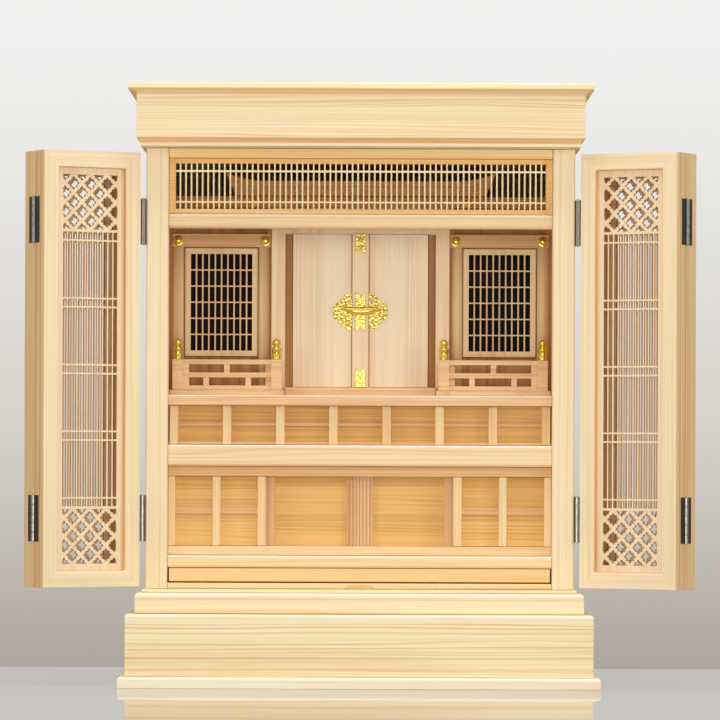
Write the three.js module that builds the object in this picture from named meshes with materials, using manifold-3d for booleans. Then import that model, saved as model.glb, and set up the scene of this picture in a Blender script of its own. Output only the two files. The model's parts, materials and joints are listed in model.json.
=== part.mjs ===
// Household altar cabinet of planed softwood, 600 mm high, with two pairs of folding lattice doors.
// Millimetres, +Z up, +X to the right of someone facing the cabinet, front towards -Y.
// The origin is the middle of the foot board's underside.

import * as THREE from 'three';
import { mergeVertices } from 'three/addons/utils/BufferGeometryUtils.js';
import Module from 'manifold-3d';

const wasm = await Module();
wasm.setup();

// ---------------------------------------------------------------- driving dimensions

const GAP = 0.3;              // glue line or play between neighbouring pieces
const FRONT = -126;           // front plane of the stiles
const BACK = 174;             // back plane of the body
const OUTER = 214.5;          // half the body's width
const INNER = 192.3;          // half the clear width between the stiles
const STILE = OUTER - INNER;  // width and depth of a stile
const WALL = 9;               // side panels
const BACK_WALL = 6;          // back panel

// heights of the stack, from the table up
const FOOT_TOP = 11.3;
const PLINTH_TOP = 73.3;
const MOULDING_TOP = 94.2;
const FILLET_TOP = 97.3;
const BOTTOM_TOP = 103.2;
const TRAY_TOP = 118.3;
const LOWER_SHELF_TOP = 130.6;
const CUPBOARD_SILL_TOP = 139.8;
const CUPBOARD_HEAD = 210;    // underside of the rail over the cupboard
const MIDDLE_SHELF = { bottom: 220.3, top: 241.4 };
const UPPER_SHELF = { bottom: 280.8, top: 291.2 };
const LINTEL = { bottom: 458.4, top: 472.4 };
const BODY_TOP = 538;
const CROWN_TOP = 600.8;

// how far the crown and base stand out from the stiles, at the front
const FOOT_OUT = 49;
const PLINTH_OUT = 42;
const MOULDING_OUT = 33;
const FILLET_OUT = 25;
const FASCIA_OUT = 34.5;
const SLAB_SET = 8.1;         // of the top slab beyond the fascia
const FILLET_SET = 4;         // of the fascia beyond the fillet below it

// folding doors: each leaf is measured from the hinge on the cabinet's corner
const DOOR_OPEN = 151;        // degrees that the doors stand open
const DOOR_MIDDLE = 316;      // height of a leaf's middle
const LEAF = { width: 106.5, height: 433.6, thickness: 22, stile: 16.7, rail: 17 };
const LEAF_START = 2.7;       // from the hinge's axis to the leaf's edge
const FOLD_GAP = 1;           // between the two leaves of a pair, folded or flat
const HINGE = { x: 217.2, y: FRONT - GAP, radius: 2.1, length: 46, plate: 10, spread: 296.5 };

// lattices: slat width, and the openings between the slats
const SLAT = 2.2;
const DOOR_LATTICE = {
  width: 59.6, gaps: 11, field: 66.2, bar: 8.7, thickness: 6, setBack: 5.5, tongue: 2,
};
const FLOWER_PANEL = { bottom: 139.1, top: 193.4, step: 9, half: 7.4 };
const TRANSOM = { bottom: LINTEL.top, top: 528.2, frame: 5, halfOpening: 185.3, gaps: 67 };

// the shrines on the upper shelf
const SHRINE_FRONT = FRONT + 56;
const SHRINE_DOOR = { edge: 0.3, hinge: 68.7, thickness: 7, strip: 8.1, bottom: 299.9, top: 454.9 };
const SIDE_FRONT = FRONT + 62;
const SIDE = { inner: 97.8, outer: 185, pillar: 5.75, top: 455.1, floor: 296.4 };
const RAILING_FRONT = FRONT + 34;

// the fronts below the upper shelf
const TIER = { posts: 8, pitch: 53.3, post: 8.7 };
const CUPBOARD = { front: FRONT + 12, track: FRONT + 27, postDepth: 8, doorEnd: 98 };

// ---------------------------------------------------------------- materials

const FINISHES = {
  wood: { color: '#f3e0b4', roughness: 0.62, metalness: 0 },
  shrineWood: { color: '#e3c29b', roughness: 0.6, metalness: 0 },
  panelWood: { color: '#e8b975', roughness: 0.55, metalness: 0 },
  brass: { color: '#e2c03a', roughness: 0.22, metalness: 1 },
  steel: { color: '#6f6b60', roughness: 0.4, metalness: 1 },
};

const cabinet = new THREE.Group();

function add(name, geometry, finish, parent = cabinet) {
  const mesh = new THREE.Mesh(geometry, new THREE.MeshStandardMaterial(FINISHES[finish]));
  mesh.name = name;
  parent.add(mesh);
  return mesh;
}

// ---------------------------------------------------------------- solids

function toSolid(geometry) {
  const bare = geometry.clone();
  bare.deleteAttribute('normal');
  bare.deleteAttribute('uv');
  const merged = mergeVertices(bare, 1e-4);
  const vertProperties = new Float32Array(merged.attributes.position.array);
  const triVerts = new Uint32Array(merged.index.array);
  return new wasm.Manifold(new wasm.Mesh({ numProp: 3, vertProperties, triVerts }));
}

function toGeometry(solid) {
  const { vertProperties, triVerts } = solid.getMesh();
  const geometry = new THREE.BufferGeometry();
  geometry.setAttribute('position', new THREE.BufferAttribute(vertProperties, 3));
  geometry.setIndex(new THREE.BufferAttribute(triVerts, 1));
  return geometry;
}

const join = (...geometries) =>
  toGeometry(geometries.map(toSolid).reduce((whole, piece) => whole.add(piece)));

const cut = (geometry, ...tools) =>
  toGeometry(tools.map(toSolid).reduce((rest, tool) => rest.subtract(tool), toSolid(geometry)));

const common = (a, b) => toGeometry(toSolid(a).intersect(toSolid(b)));

function box(x0, x1, y0, y1, z0, z1) {
  const geometry = new THREE.BoxGeometry(Math.abs(x1 - x0), Math.abs(y1 - y0), Math.abs(z1 - z0));
  return geometry.translate((x0 + x1) / 2, (y0 + y1) / 2, (z0 + z1) / 2);
}

// Extrusions: the outline's two coordinates are x and y, x and z, or y and z.
const EXTRUDE = { steps: 1, bevelEnabled: false, curveSegments: 6 };

const alongZ = (shape, z0, z1) =>
  new THREE.ExtrudeGeometry(shape, { ...EXTRUDE, depth: z1 - z0 }).translate(0, 0, z0);

const alongY = (shape, y0, y1) =>
  new THREE.ExtrudeGeometry(shape, { ...EXTRUDE, depth: y1 - y0 })
    .rotateX(Math.PI / 2)
    .translate(0, y1, 0);

const alongX = (shape, x0, x1) =>
  new THREE.ExtrudeGeometry(shape, { ...EXTRUDE, depth: x1 - x0 })
    .rotateX(Math.PI / 2)
    .rotateZ(Math.PI / 2)
    .translate(x0, 0, 0);

function polygon(points) {
  return new THREE.Shape(points.map(([a, b]) => new THREE.Vector2(a, b)));
}

function rectangle(a0, a1, b0, b1) {
  return polygon([[a0, b0], [a1, b0], [a1, b1], [a0, b1]]);
}

function mirrored(points) {
  return [...points, ...points.map(([a, b]) => [-a, b]).reverse()];
}

// The points of a rounded edge from a vertical face up to a top, as [inset, height].
function roundedTop(inset, top, radius, steps = 3) {
  return Array.from({ length: steps + 1 }, (_, i) => {
    const angle = (i / steps) * (Math.PI / 2);
    return [inset + radius * (1 - Math.cos(angle)), top - radius * (1 - Math.sin(angle))];
  });
}

// The points of a hollow that runs from a vertical face up and out under what overhangs it.
function cove(inset, reach, bottom, height, steps = 4) {
  return Array.from({ length: steps + 1 }, (_, i) => {
    const angle = (i / steps) * (Math.PI / 2);
    return [inset - reach * (1 - Math.cos(angle)), bottom + height * Math.sin(angle)];
  });
}

// A board whose front and two ends carry one moulding, mitred at the corners, with a plain back.
// The moulding is a list of [inset, height] points from the bottom up.
function mouldedBoard(halfWidth, front, back, moulding) {
  const margin = 20;
  const across = polygon(mirrored(moulding.map(([inset, z]) => [halfWidth - inset, z])));
  const bottom = moulding[0][1];
  const top = moulding[moulding.length - 1][1];
  const along = polygon([
    ...moulding.map(([inset, z]) => [front + inset, z]), [back, top], [back, bottom],
  ]);
  return common(
    alongY(across, front - margin, back + margin),
    alongX(along, -halfWidth - margin, halfWidth + margin),
  );
}

// The openings left between equal slats, as [from, to] pairs about a middle.
function slots(middle, width, count, slat) {
  const slot = (width - (count - 1) * slat) / count;
  return Array.from({ length: count }, (_, i) => {
    const start = middle - width / 2 + i * (slot + slat);
    return [start, start + slot];
  });
}

// The blocks that pierce an upright plate at every crossing of the given columns and rows.
function openings(columns, rows, y0, y1) {
  return columns.flatMap(([x0, x1]) =>
    rows.map(([z0, z1]) => box(x0, x1, y0 - 1, y1 + 1, z0, z1)));
}

// ---------------------------------------------------------------- base

function addBase() {
  add('foot_board', mouldedBoard(OUTER + 25, FRONT - FOOT_OUT, BACK + 1, [
    [0, 0], ...roundedTop(0, FOOT_TOP, 3),
  ]), 'wood');

  const halfPlinth = OUTER + 17.9;
  const board = 18;
  const plinth = mouldedBoard(halfPlinth, FRONT - PLINTH_OUT, BACK, [
    [0, FOOT_TOP + GAP], ...roundedTop(0, PLINTH_TOP, 3),
  ]);
  const hollow = box(
    board - halfPlinth, halfPlinth - board,
    FRONT - PLINTH_OUT + board, BACK - board, 0, MOULDING_TOP,
  );
  add('plinth', cut(plinth, hollow), 'wood');

  const mouldingBottom = PLINTH_TOP + GAP;
  add('base_moulding', mouldedBoard(OUTER + 8.7, FRONT - MOULDING_OUT, BACK, [
    [1, mouldingBottom], [0, mouldingBottom + 1], ...roundedTop(0, MOULDING_TOP, 4),
  ]), 'wood');

  add('base_fillet', mouldedBoard(OUTER + 2, FRONT - FILLET_OUT, BACK, [
    [0, MOULDING_TOP + GAP], ...roundedTop(0, FILLET_TOP, 1.5),
  ]), 'wood');
}

// ---------------------------------------------------------------- carcass

const PANEL_INSET = 3;        // of the side and back panels behind the posts' faces
const BACK_BOARD = BACK - PANEL_INSET - BACK_WALL;   // front of the back panel
const REACH = INNER - GAP;    // half length of what fits between the stiles

// A board that fills the cabinet from its front edge to the back panel, housed around the posts.
function housedBoard(front, bottom, top, nosing = 1.2) {
  const wide = OUTER - PANEL_INSET - WALL - GAP;
  const behindStile = FRONT + STILE + GAP;
  const beforePost = BACK - STILE - GAP;
  const back = BACK_BOARD - GAP;
  const frontPart = front < behindStile ? [[REACH, front], [REACH, behindStile]] : [[wide, front]];
  const plan = polygon(mirrored([
    ...frontPart, [wide, Math.max(front, behindStile)],
    [wide, beforePost], [REACH, beforePost], [REACH, back],
  ]));
  const edge = polygon([
    [front + nosing, bottom], [front, bottom + nosing],
    ...roundedTop(0, top, nosing).map(([inset, z]) => [front + inset, z]),
    [BACK, top], [BACK, bottom],
  ]);
  return common(alongZ(plan, bottom - 1, top + 1), alongX(edge, -OUTER, OUTER));
}

function addCarcass() {
  const bottom = FILLET_TOP + GAP;
  const arris = 1.5;
  for (const [side, sign] of [['left', -1], ['right', 1]]) {
    add(`${side}_front_stile`, alongZ(polygon([
      [sign * INNER, FRONT + arris], [sign * (INNER + arris), FRONT],
      [sign * (OUTER - arris), FRONT], [sign * OUTER, FRONT + arris],
      [sign * OUTER, FRONT + STILE], [sign * INNER, FRONT + STILE],
    ]), bottom, BODY_TOP), 'wood');
    add(`${side}_rear_post`, alongZ(polygon([
      [sign * INNER, BACK - STILE], [sign * OUTER, BACK - STILE],
      [sign * OUTER, BACK - arris], [sign * (OUTER - arris), BACK], [sign * INNER, BACK],
    ]), bottom, BODY_TOP), 'wood');
    add(`${side}_side_panel`, box(
      sign * (OUTER - PANEL_INSET - WALL), sign * (OUTER - PANEL_INSET),
      FRONT + STILE + GAP, BACK - STILE - GAP, bottom, BODY_TOP,
    ), 'wood');
  }
  add('back_panel', box(-REACH, REACH, BACK_BOARD, BACK - PANEL_INSET, bottom, BODY_TOP), 'wood');

  const scoop = new THREE.SphereGeometry(1, 12, 6)
    .scale(16.5, 4, 4)
    .translate(0, FRONT + 0.5, bottom);
  add('bottom_board', cut(housedBoard(FRONT + 0.5, bottom, BOTTOM_TOP), scoop), 'wood');
  add('lower_shelf', housedBoard(FRONT + 1, TRAY_TOP + GAP, LOWER_SHELF_TOP, 2), 'wood');
  add('middle_shelf', housedBoard(FRONT + 2, MIDDLE_SHELF.bottom, MIDDLE_SHELF.top, 2), 'wood');
  add('upper_shelf', housedBoard(FRONT + 6, UPPER_SHELF.bottom, UPPER_SHELF.top), 'wood');

  const railBottom = TRANSOM.top + GAP;
  const railBack = FRONT + 18;
  add('top_rail', box(-REACH, REACH, FRONT + 2, railBack, railBottom, BODY_TOP), 'wood');
  add('ceiling_board', housedBoard(FRONT + STILE + GAP, railBottom, BODY_TOP, 0.5), 'wood');
}

// The offering tray is a flat board with a thicker front edge, which runs on the bottom board.
function addTray() {
  const bottom = BOTTOM_TOP + 1.3;
  const top = TRAY_TOP - GAP;
  const front = FRONT + 1.5;
  const lip = 15;
  const section = polygon([
    [front, bottom + 1], [front + 1, bottom], [front + 240, bottom], [front + 240, bottom + 10],
    [front + lip, bottom + 10], [front + lip, top], [front + 1, top], [front, top - 1],
  ]);
  add('offering_tray', alongX(section, 1.7 - INNER, INNER - 1.7), 'panelWood');
}

// ---------------------------------------------------------------- crown

function addCrown() {
  const halfFascia = OUTER + 8.5;
  const bottom = BODY_TOP + GAP;
  const filletTop = bottom + 3;
  const coveHeight = 5.2;
  const slabBottom = CROWN_TOP - 6.3;
  const friezeTop = slabBottom - GAP;
  const frieze = mouldedBoard(halfFascia, FRONT - FASCIA_OUT, BACK, [
    [FILLET_SET, bottom], ...cove(FILLET_SET, FILLET_SET, filletTop, coveHeight),
    ...cove(0, SLAB_SET, friezeTop - coveHeight, coveHeight),
  ]);
  const board = 18;
  const hollow = box(
    board - halfFascia, halfFascia - board,
    FRONT - FASCIA_OUT + board, BACK - board, BODY_TOP, CROWN_TOP,
  );
  add('crown_frieze', cut(frieze, hollow), 'wood');
  add('crown_slab', mouldedBoard(halfFascia + SLAB_SET, FRONT - FASCIA_OUT - SLAB_SET, BACK + 1, [
    [1, slabBottom], [0, slabBottom + 1], ...roundedTop(0, CROWN_TOP, 1.5),
  ]), 'wood');
}

// ---------------------------------------------------------------- transom and lintel

function addTransom() {
  const bottom = TRANSOM.bottom + GAP;
  const face = [FRONT + 8, FRONT + 15];
  add('transom_lattice', cut(
    box(-REACH, REACH, ...face, bottom, TRANSOM.top),
    ...openings(
      slots(0, 2 * TRANSOM.halfOpening, TRANSOM.gaps, SLAT),
      [[bottom + TRANSOM.frame, TRANSOM.top - TRANSOM.frame]],
      ...face,
    ),
  ), 'wood');

  const front = FRONT + 4;
  const depth = 16;
  const section = polygon([
    [front + depth, LINTEL.bottom], [front + depth, LINTEL.top],
    ...roundedTop(0, LINTEL.top, 2).map(([inset, z]) => [front + inset, z]).reverse(),
    [front, LINTEL.bottom + 1.5], [front + 1.5, LINTEL.bottom],
  ]);
  add('lintel_rail', alongX(section, -REACH, REACH), 'wood');
}

// ---------------------------------------------------------------- folding doors

const LEAF_END = LEAF_START + LEAF.width;                 // the leaf's far edge
const FOLD = LEAF_END + FOLD_GAP / 2;                     // axis between the two leaves
const FOLD_DEPTH = GAP + LEAF.thickness + FOLD_GAP / 2;   // its depth before the inner face

// One leaf. Distances run along it from the cabinet's hinge, and depths outward from its inner
// face. The outer leaf of an open pair lies folded flat against the inner one, so its depths are
// counted back from the fold.
function leafGeometry(sign, folded) {
  const y = (depth) => -(folded ? 2 * FOLD_DEPTH - depth : depth);
  const block = (from, to, depth0, depth1, z0, z1) =>
    box(sign * from, sign * to, y(depth0), y(depth1), DOOR_MIDDLE + z0, DOOR_MIDDLE + z1);
  const middle = LEAF_START + LEAF.width / 2;
  const halfHeight = LEAF.height / 2;
  const faces = [GAP, GAP + LEAF.thickness];
  const opening = { half: LEAF.width / 2 - LEAF.stile, halfHeight: halfHeight - LEAF.rail };
  const frame = cut(
    block(LEAF_START, LEAF_END, ...faces, -halfHeight, halfHeight),
    block(
      middle - opening.half, middle + opening.half, -1, 2 * FOLD_DEPTH,
      -opening.halfHeight, opening.halfHeight,
    ),
  );

  const { width, gaps, field, bar, thickness, setBack, tongue } = DOOR_LATTICE;
  const layer = [GAP + setBack, GAP + setBack + thickness];
  const span = [Math.min(...layer.map(y)), Math.max(...layer.map(y))];
  const barMiddles = [-2, -1, 0, 1, 2].map((i) => DOOR_MIDDLE + i * field);
  const fields = barMiddles.slice(1).map((z, i) => [barMiddles[i] + bar / 2, z - bar / 2]);
  const lattice = cut(
    block(
      middle - opening.half - tongue, middle + opening.half + tongue, ...layer,
      -opening.halfHeight - tongue, opening.halfHeight + tongue,
    ),
    ...openings(slots(sign * middle, width, gaps, SLAT), fields, ...span),
    ...flowerOpenings(sign * middle, ...span),
  );

  // room in the far edge for the fold's hinges: a mortise for each plate, a notch for each barrel
  const mortise = 1.3;
  const clear = HINGE.radius + GAP;
  const half = HINGE.length / 2 + GAP;
  const recesses = [-1, 1].flatMap((end) => {
    const z = (end * HINGE.spread) / 2;
    return [
      block(LEAF_END - mortise, FOLD, faces[1] - HINGE.plate - clear, FOLD_DEPTH, z - half, z + half),
      block(FOLD - clear, FOLD, FOLD_DEPTH - clear, FOLD_DEPTH, z - half, z + half),
    ];
  });
  return cut(join(frame, lattice), ...recesses);
}

// The diamond openings of the flower panels at the two ends of a lattice: one in the middle and
// two rings of four about it, on the panel's diagonal grid.
function flowerOpenings(middle, y0, y1) {
  const { bottom, top, step, half } = FLOWER_PANEL;
  const places = [[0, 0]];
  for (const sign of [-1, 1]) {
    places.push([sign, 1], [sign, -1], [2 * sign, 0], [0, 2 * sign]);
  }
  return [-1, 1].flatMap((end) => places.map(([across, up]) => {
    const x = middle + across * step;
    const z = DOOR_MIDDLE + (end * (bottom + top)) / 2 + up * step;
    const diamond = polygon([[x - half, z], [x, z - half], [x + half, z], [x, z + half]]);
    return alongY(diamond, y0 - 1, y1 + 1);
  }));
}

// A hinge's barrel with one of its two plates. The plate is a box in the barrel's own frame.
function hingeGeometry(plate) {
  const barrel = new THREE.CylinderGeometry(HINGE.radius, HINGE.radius, HINGE.length, 8)
    .rotateX(Math.PI / 2);
  return join(barrel, plate);
}

function addDoors() {
  for (const [side, sign] of [['left', -1], ['right', 1]]) {
    const hingePlace = new THREE.Group();
    hingePlace.position.set(sign * HINGE.x, HINGE.y, 0);
    cabinet.add(hingePlace);

    // in this group +X runs along the closed door for the left side, and -X for the right
    const pair = new THREE.Group();
    pair.rotation.z = THREE.MathUtils.degToRad(sign * DOOR_OPEN);
    hingePlace.add(pair);
    add(`${side}_inner_leaf`, leafGeometry(-sign, false), 'wood', pair);
    add(`${side}_outer_leaf`, leafGeometry(-sign, true), 'wood', pair);

    for (const [level, end] of [['lower', -1], ['upper', 1]]) {
      const z = DOOR_MIDDLE + end * HINGE.spread / 2;
      const half = HINGE.length / 2;
      const toWall = HINGE.x - OUTER - GAP;
      const bodyPlate = box(-sign * toWall, -sign * (toWall - 0.9), 0, HINGE.plate + 2, -half, half);
      const bodyHinge = add(
        `${side}_${level}_hinge`, hingeGeometry(bodyPlate), 'steel', hingePlace,
      );
      bodyHinge.position.z = z;

      const near = FOLD - LEAF_END;
      const leafPlate = box(
        sign * near, sign * (near + 1), 1, HINGE.plate + HINGE.radius, -half, half,
      );
      const foldHinge = add(
        `${side}_${level}_fold_hinge`, hingeGeometry(leafPlate), 'steel', pair,
      );
      foldHinge.position.set(-sign * FOLD, -FOLD_DEPTH, z);
    }
  }
}

// ---------------------------------------------------------------- centre shrine

function addCentreShrine() {
  const floor = UPPER_SHELF.top + GAP;
  const beamBottom = 481.7;
  const sillTop = SHRINE_DOOR.bottom - GAP;
  const doorTop = SHRINE_DOOR.top + GAP;
  const pillar = { inner: 76.2, outer: 90, depth: 14 };
  const wall = 6;
  const rear = SHRINE_FRONT + 105;
  const top = beamBottom - GAP;
  const front = SHRINE_FRONT;

  const shell = cut(
    box(-84, 84, front + 8, rear, floor, top),
    box(wall - 84, 84 - wall, front, rear - wall, sillTop, doorTop),
  );
  const pillars = [-1, 1].map((sign) =>
    box(sign * pillar.inner, sign * pillar.outer, front, front + pillar.depth, floor, top));
  const jambs = [-1, 1].map((sign) => box(
    sign * (SHRINE_DOOR.hinge + 0.6), sign * (pillar.inner + 1),
    front + 9, front + pillar.depth, sillTop - 1, doorTop + 1,
  ));
  const head = box(-pillar.outer, pillar.outer, front + 1.5, front + pillar.depth, doorTop, top);
  const sill = box(-75.9, 75.9, front - 6, front + pillar.depth, floor, sillTop);
  const stub = box(-pillar.outer, pillar.outer, front + 2, front + pillar.depth, floor, floor + 4);
  add('centre_shrine', join(shell, ...pillars, ...jambs, head, sill, stub), 'shrineWood');

  const doorFront = front + 2.5;
  const { edge, hinge, thickness, strip, bottom } = SHRINE_DOOR;
  for (const [side, sign] of [['left', -1], ['right', 1]]) {
    add(`${side}_shrine_door`, box(
      sign * edge, sign * (hinge - GAP), doorFront, doorFront + thickness, bottom, SHRINE_DOOR.top,
    ), 'shrineWood');
  }
  add('shrine_door_strip', box(
    -strip, strip, doorFront - 3, doorFront - GAP, bottom, SHRINE_DOOR.top,
  ), 'shrineWood');

  // the beam over the shrines and the roof that it carries, with turned-up eaves
  const beamTop = 492.8;
  add('shrine_beam', box(-REACH, REACH, front - 4, front + 10, beamBottom, beamTop), 'shrineWood');
  const eave = { tip: 136, foot: 125.5, flat: 98, top: 507.6, tipTop: 515.7 };
  const sweep = Array.from({ length: 5 }, (_, i) => {
    const share = i / 4;
    return [
      eave.tip + (eave.flat - eave.tip) * share,
      eave.top + (eave.tipTop - eave.top) * (1 - share) ** 2,
    ];
  });
  const roof = polygon(mirrored([[eave.foot, beamTop + GAP], ...sweep]));
  add('shrine_roof', alongY(roof, front - 21, front + 60), 'shrineWood');
}

// ---------------------------------------------------------------- side shrines

function addSideShrine(side, sign) {
  const { inner, outer, pillar, top, floor } = SIDE;
  const shelf = UPPER_SHELF.top + GAP;
  const wallX = [inner - 6, outer + 6.5];
  const front = SIDE_FRONT;
  const wallFront = front + 2 * pillar - 0.5;
  const rear = front + 85;
  const wall = 4.5;
  const window = { x: [inner + 8, outer - 8.5], z: [334, 438] };

  const shell = cut(
    box(sign * wallX[0], sign * wallX[1], wallFront, rear, floor - 1, top),
    box(
      sign * (wallX[0] + wall), sign * (wallX[1] - wall),
      wallFront + wall, rear - wall, floor + wall, top - wall,
    ),
    box(sign * window.x[0], sign * window.x[1], front, wallFront + 2 * wall, ...window.z),
  );
  const pillars = [inner, outer].map((x) =>
    new THREE.CylinderGeometry(pillar, pillar, top - floor + 1, 10)
      .rotateX(Math.PI / 2)
      .translate(sign * x, front + pillar, (top + floor - 1) / 2));
  const beam = box(
    sign * (inner - 7), sign * (outer + 5.8), front, wallFront + 1, top - 13.2, top,
  );
  const veranda = alongZ(polygon([
    [sign * 76.5, SHRINE_FRONT - 24], [sign * (INNER - 0.6), SHRINE_FRONT - 24],
    [sign * (INNER - 0.6), rear], [sign * (inner - 6), rear],
    [sign * (inner - 6), SHRINE_FRONT - 7], [sign * 76.5, SHRINE_FRONT - 7],
  ]), shelf, floor);
  add(`${side}_side_shrine`, join(shell, ...pillars, beam, veranda), 'shrineWood');

  const lattice = { x: [104.3, 177.8], z: [331.3, 440.5], frame: 5.6 };
  const rows = [[lattice.z[0] + lattice.frame, lattice.z[1] - lattice.frame]];
  const columns = slots(
    sign * (lattice.x[0] + lattice.x[1]) / 2, lattice.x[1] - lattice.x[0] - 2 * lattice.frame,
    10, SLAT,
  );
  const face = [front + 4, front + 10];
  add(`${side}_shrine_lattice`, cut(
    box(sign * lattice.x[0], sign * lattice.x[1], ...face, ...lattice.z),
    ...openings(columns, rows, ...face),
  ), 'shrineWood');
}

// A low railing before a side shrine, with a brass jewel finial on each post.
function addRailing(side, sign) {
  const bottom = SIDE.floor + GAP;
  const top = 327.3;
  const posts = [84.4, 183.9];
  const half = 5.3;
  const rail = (z0, z1) => box(
    sign * posts[0], sign * posts[1], RAILING_FRONT + 2.5, RAILING_FRONT + 7.5, z0, z1,
  );
  const strut = (x, z0, z1) => box(
    sign * (x - 2.8), sign * (x + 2.8), RAILING_FRONT + 3, RAILING_FRONT + 7, z0, z1,
  );
  const uprights = posts.map((x) => box(
    sign * (x - half), sign * (x + half), RAILING_FRONT, RAILING_FRONT + 10, bottom, top,
  ));
  add(`${side}_railing`, join(
    ...uprights, rail(bottom, 301.1), rail(309.2, 314.2), rail(top - 4.8, top),
    strut(134.5, 312, 325), strut(155.3, 299, 312), strut(112.8, 299, 312),
  ), 'shrineWood');

  const finial = [
    [0, 0], [4.5, 0], [4.5, 11.5], [2.7, 13], [4.7, 16.5], [3.4, 19], [0, 20.9],
  ].map(([r, z]) => new THREE.Vector2(r, z));
  for (const [i, name] of [[0, 'inner'], [1, 'outer']]) {
    const geometry = new THREE.LatheGeometry(finial, 8).rotateX(Math.PI / 2);
    add(`${side}_${name}_finial`, geometry, 'brass')
      .position.set(sign * posts[i], RAILING_FRONT + 5, top + GAP);
  }
}

// ---------------------------------------------------------------- tier and cupboard

function addTier() {
  const bottom = MIDDLE_SHELF.top + GAP;
  const top = UPPER_SHELF.bottom - GAP;
  const front = FRONT + 13;
  const rear = front + 8.7;
  const slab = { y: [front, rear], rail: [260.4, 264], railFront: rear - 2.7 };
  const bays = Array.from({ length: TIER.posts - 1 }, (_, i) => {
    const x = (i - (TIER.posts - 2) / 2) * TIER.pitch;
    return [x - (TIER.pitch - TIER.post) / 2, x + (TIER.pitch - TIER.post) / 2];
  });
  const ends = [REACH, ((TIER.posts - 1) * TIER.pitch + TIER.post) / 2];
  add('tier_frame', cut(
    box(-REACH, REACH, ...slab.y, bottom, top),
    ...openings(bays, [[bottom + 3, slab.rail[0]], [slab.rail[1], top + 1]], ...slab.y),
    ...bays.map(([x0, x1]) => box(x0, x1, front - 1, slab.railFront, bottom + 3, top + 1)),
    ...[-1, 1].map((sign) =>
      box(sign * ends[0] + sign, sign * ends[1], front - 1, slab.railFront, bottom + 3, top + 1)),
  ), 'wood');
  add('tier_panel', box(-REACH, REACH, rear + GAP, rear + 6.3, bottom, top), 'panelWood');
}

function addCupboard() {
  const { front, track, postDepth, doorEnd } = CUPBOARD;
  const groove = 9;
  const rear = track + groove + 4;
  const sillBottom = LOWER_SHELF_TOP + GAP;
  const headTop = MIDDLE_SHELF.bottom - GAP;
  const grooveDepth = 2.2;
  add('cupboard_sill', cut(
    box(-REACH, REACH, front, rear, sillBottom, CUPBOARD_SILL_TOP),
    box(-OUTER, OUTER, track, track + groove, CUPBOARD_SILL_TOP - grooveDepth, CUPBOARD_HEAD),
  ), 'wood');
  add('cupboard_head', cut(
    box(-REACH, REACH, front, rear, CUPBOARD_HEAD, headTop),
    box(-OUTER, OUTER, track, track + groove, CUPBOARD_SILL_TOP, CUPBOARD_HEAD + grooveDepth),
  ), 'wood');

  const bottom = CUPBOARD_SILL_TOP + GAP;
  const top = CUPBOARD_HEAD - GAP;
  const doorFront = track + GAP;
  const doorBack = track + groove - GAP;
  for (const [side, sign] of [['left', -1], ['right', 1]]) {
    const posts = [[185, REACH], [139.5, 147.5], [93.7, 102.5]].map(([x0, x1]) =>
      box(sign * x0, sign * x1, front, front + postDepth, bottom, top));
    const midRail = box(sign * 94, sign * 191, front + 4, front + postDepth, 171.7, 179.7);
    add(`${side}_cupboard_frame`, join(...posts, midRail), 'wood');
    add(`${side}_cupboard_panel`, box(
      sign * 93.7, sign * REACH, front + postDepth + GAP, front + postDepth + 4, bottom, top,
    ), 'panelWood');

    const doorBottom = bottom - grooveDepth + GAP;
    const doorTop = top + grooveDepth - GAP;
    const stiles = [[0.4, 13.3], [85, doorEnd]].map(([x0, x1]) =>
      box(sign * x0, sign * x1, doorFront, doorBack, doorBottom, doorTop));
    const panel = box(
      sign * 12, sign * 86, doorFront + 4, doorFront + 7, doorBottom, doorTop,
    );
    add(`${side}_cupboard_door`, join(...stiles, panel), 'panelWood');
  }
}

addBase();
addCarcass();
addTray();
addCrown();
addTransom();
addDoors();
addCentreShrine();
for (const [side, sign] of [['left', -1], ['right', 1]]) {
  addSideShrine(side, sign);
  addRailing(side, sign);
}
addTier();
addCupboard();

export default cabinet;
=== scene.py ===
# Household altar cabinet of planed cypress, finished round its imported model.
# The script follows the cabinet as a maker puts it together, one section to a piece or a group.

import json
import math

import bmesh
import bpy
from mathutils import Euler, Matrix, Vector


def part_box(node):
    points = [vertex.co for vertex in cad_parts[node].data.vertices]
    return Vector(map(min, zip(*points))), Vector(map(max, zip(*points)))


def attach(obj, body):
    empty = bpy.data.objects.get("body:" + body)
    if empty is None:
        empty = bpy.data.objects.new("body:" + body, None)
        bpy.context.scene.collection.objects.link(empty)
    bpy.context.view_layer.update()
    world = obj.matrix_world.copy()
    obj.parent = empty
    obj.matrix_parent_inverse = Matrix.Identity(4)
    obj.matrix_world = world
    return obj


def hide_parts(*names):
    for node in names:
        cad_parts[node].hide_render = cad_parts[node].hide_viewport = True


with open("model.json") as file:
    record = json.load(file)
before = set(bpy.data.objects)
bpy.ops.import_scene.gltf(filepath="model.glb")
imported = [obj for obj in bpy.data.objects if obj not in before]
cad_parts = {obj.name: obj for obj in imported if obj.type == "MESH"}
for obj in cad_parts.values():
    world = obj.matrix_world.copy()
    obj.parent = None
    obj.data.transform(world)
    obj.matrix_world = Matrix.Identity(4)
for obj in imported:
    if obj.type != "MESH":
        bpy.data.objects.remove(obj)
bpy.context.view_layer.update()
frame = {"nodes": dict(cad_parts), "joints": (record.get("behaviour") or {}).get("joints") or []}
MM = 0.001

# ------------------------------------------------------------------ camera
# A long lens stands level in front of the cabinet, a little below its middle, and looks straight
# in. The lens is shifted up instead of the camera tilted, so uprights stay parallel.

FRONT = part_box("left_front_stile")[0].y
CAMERA = {"aside": 0.1, "distance": 4500, "height": 246.6, "roll": -0.22}

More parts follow.
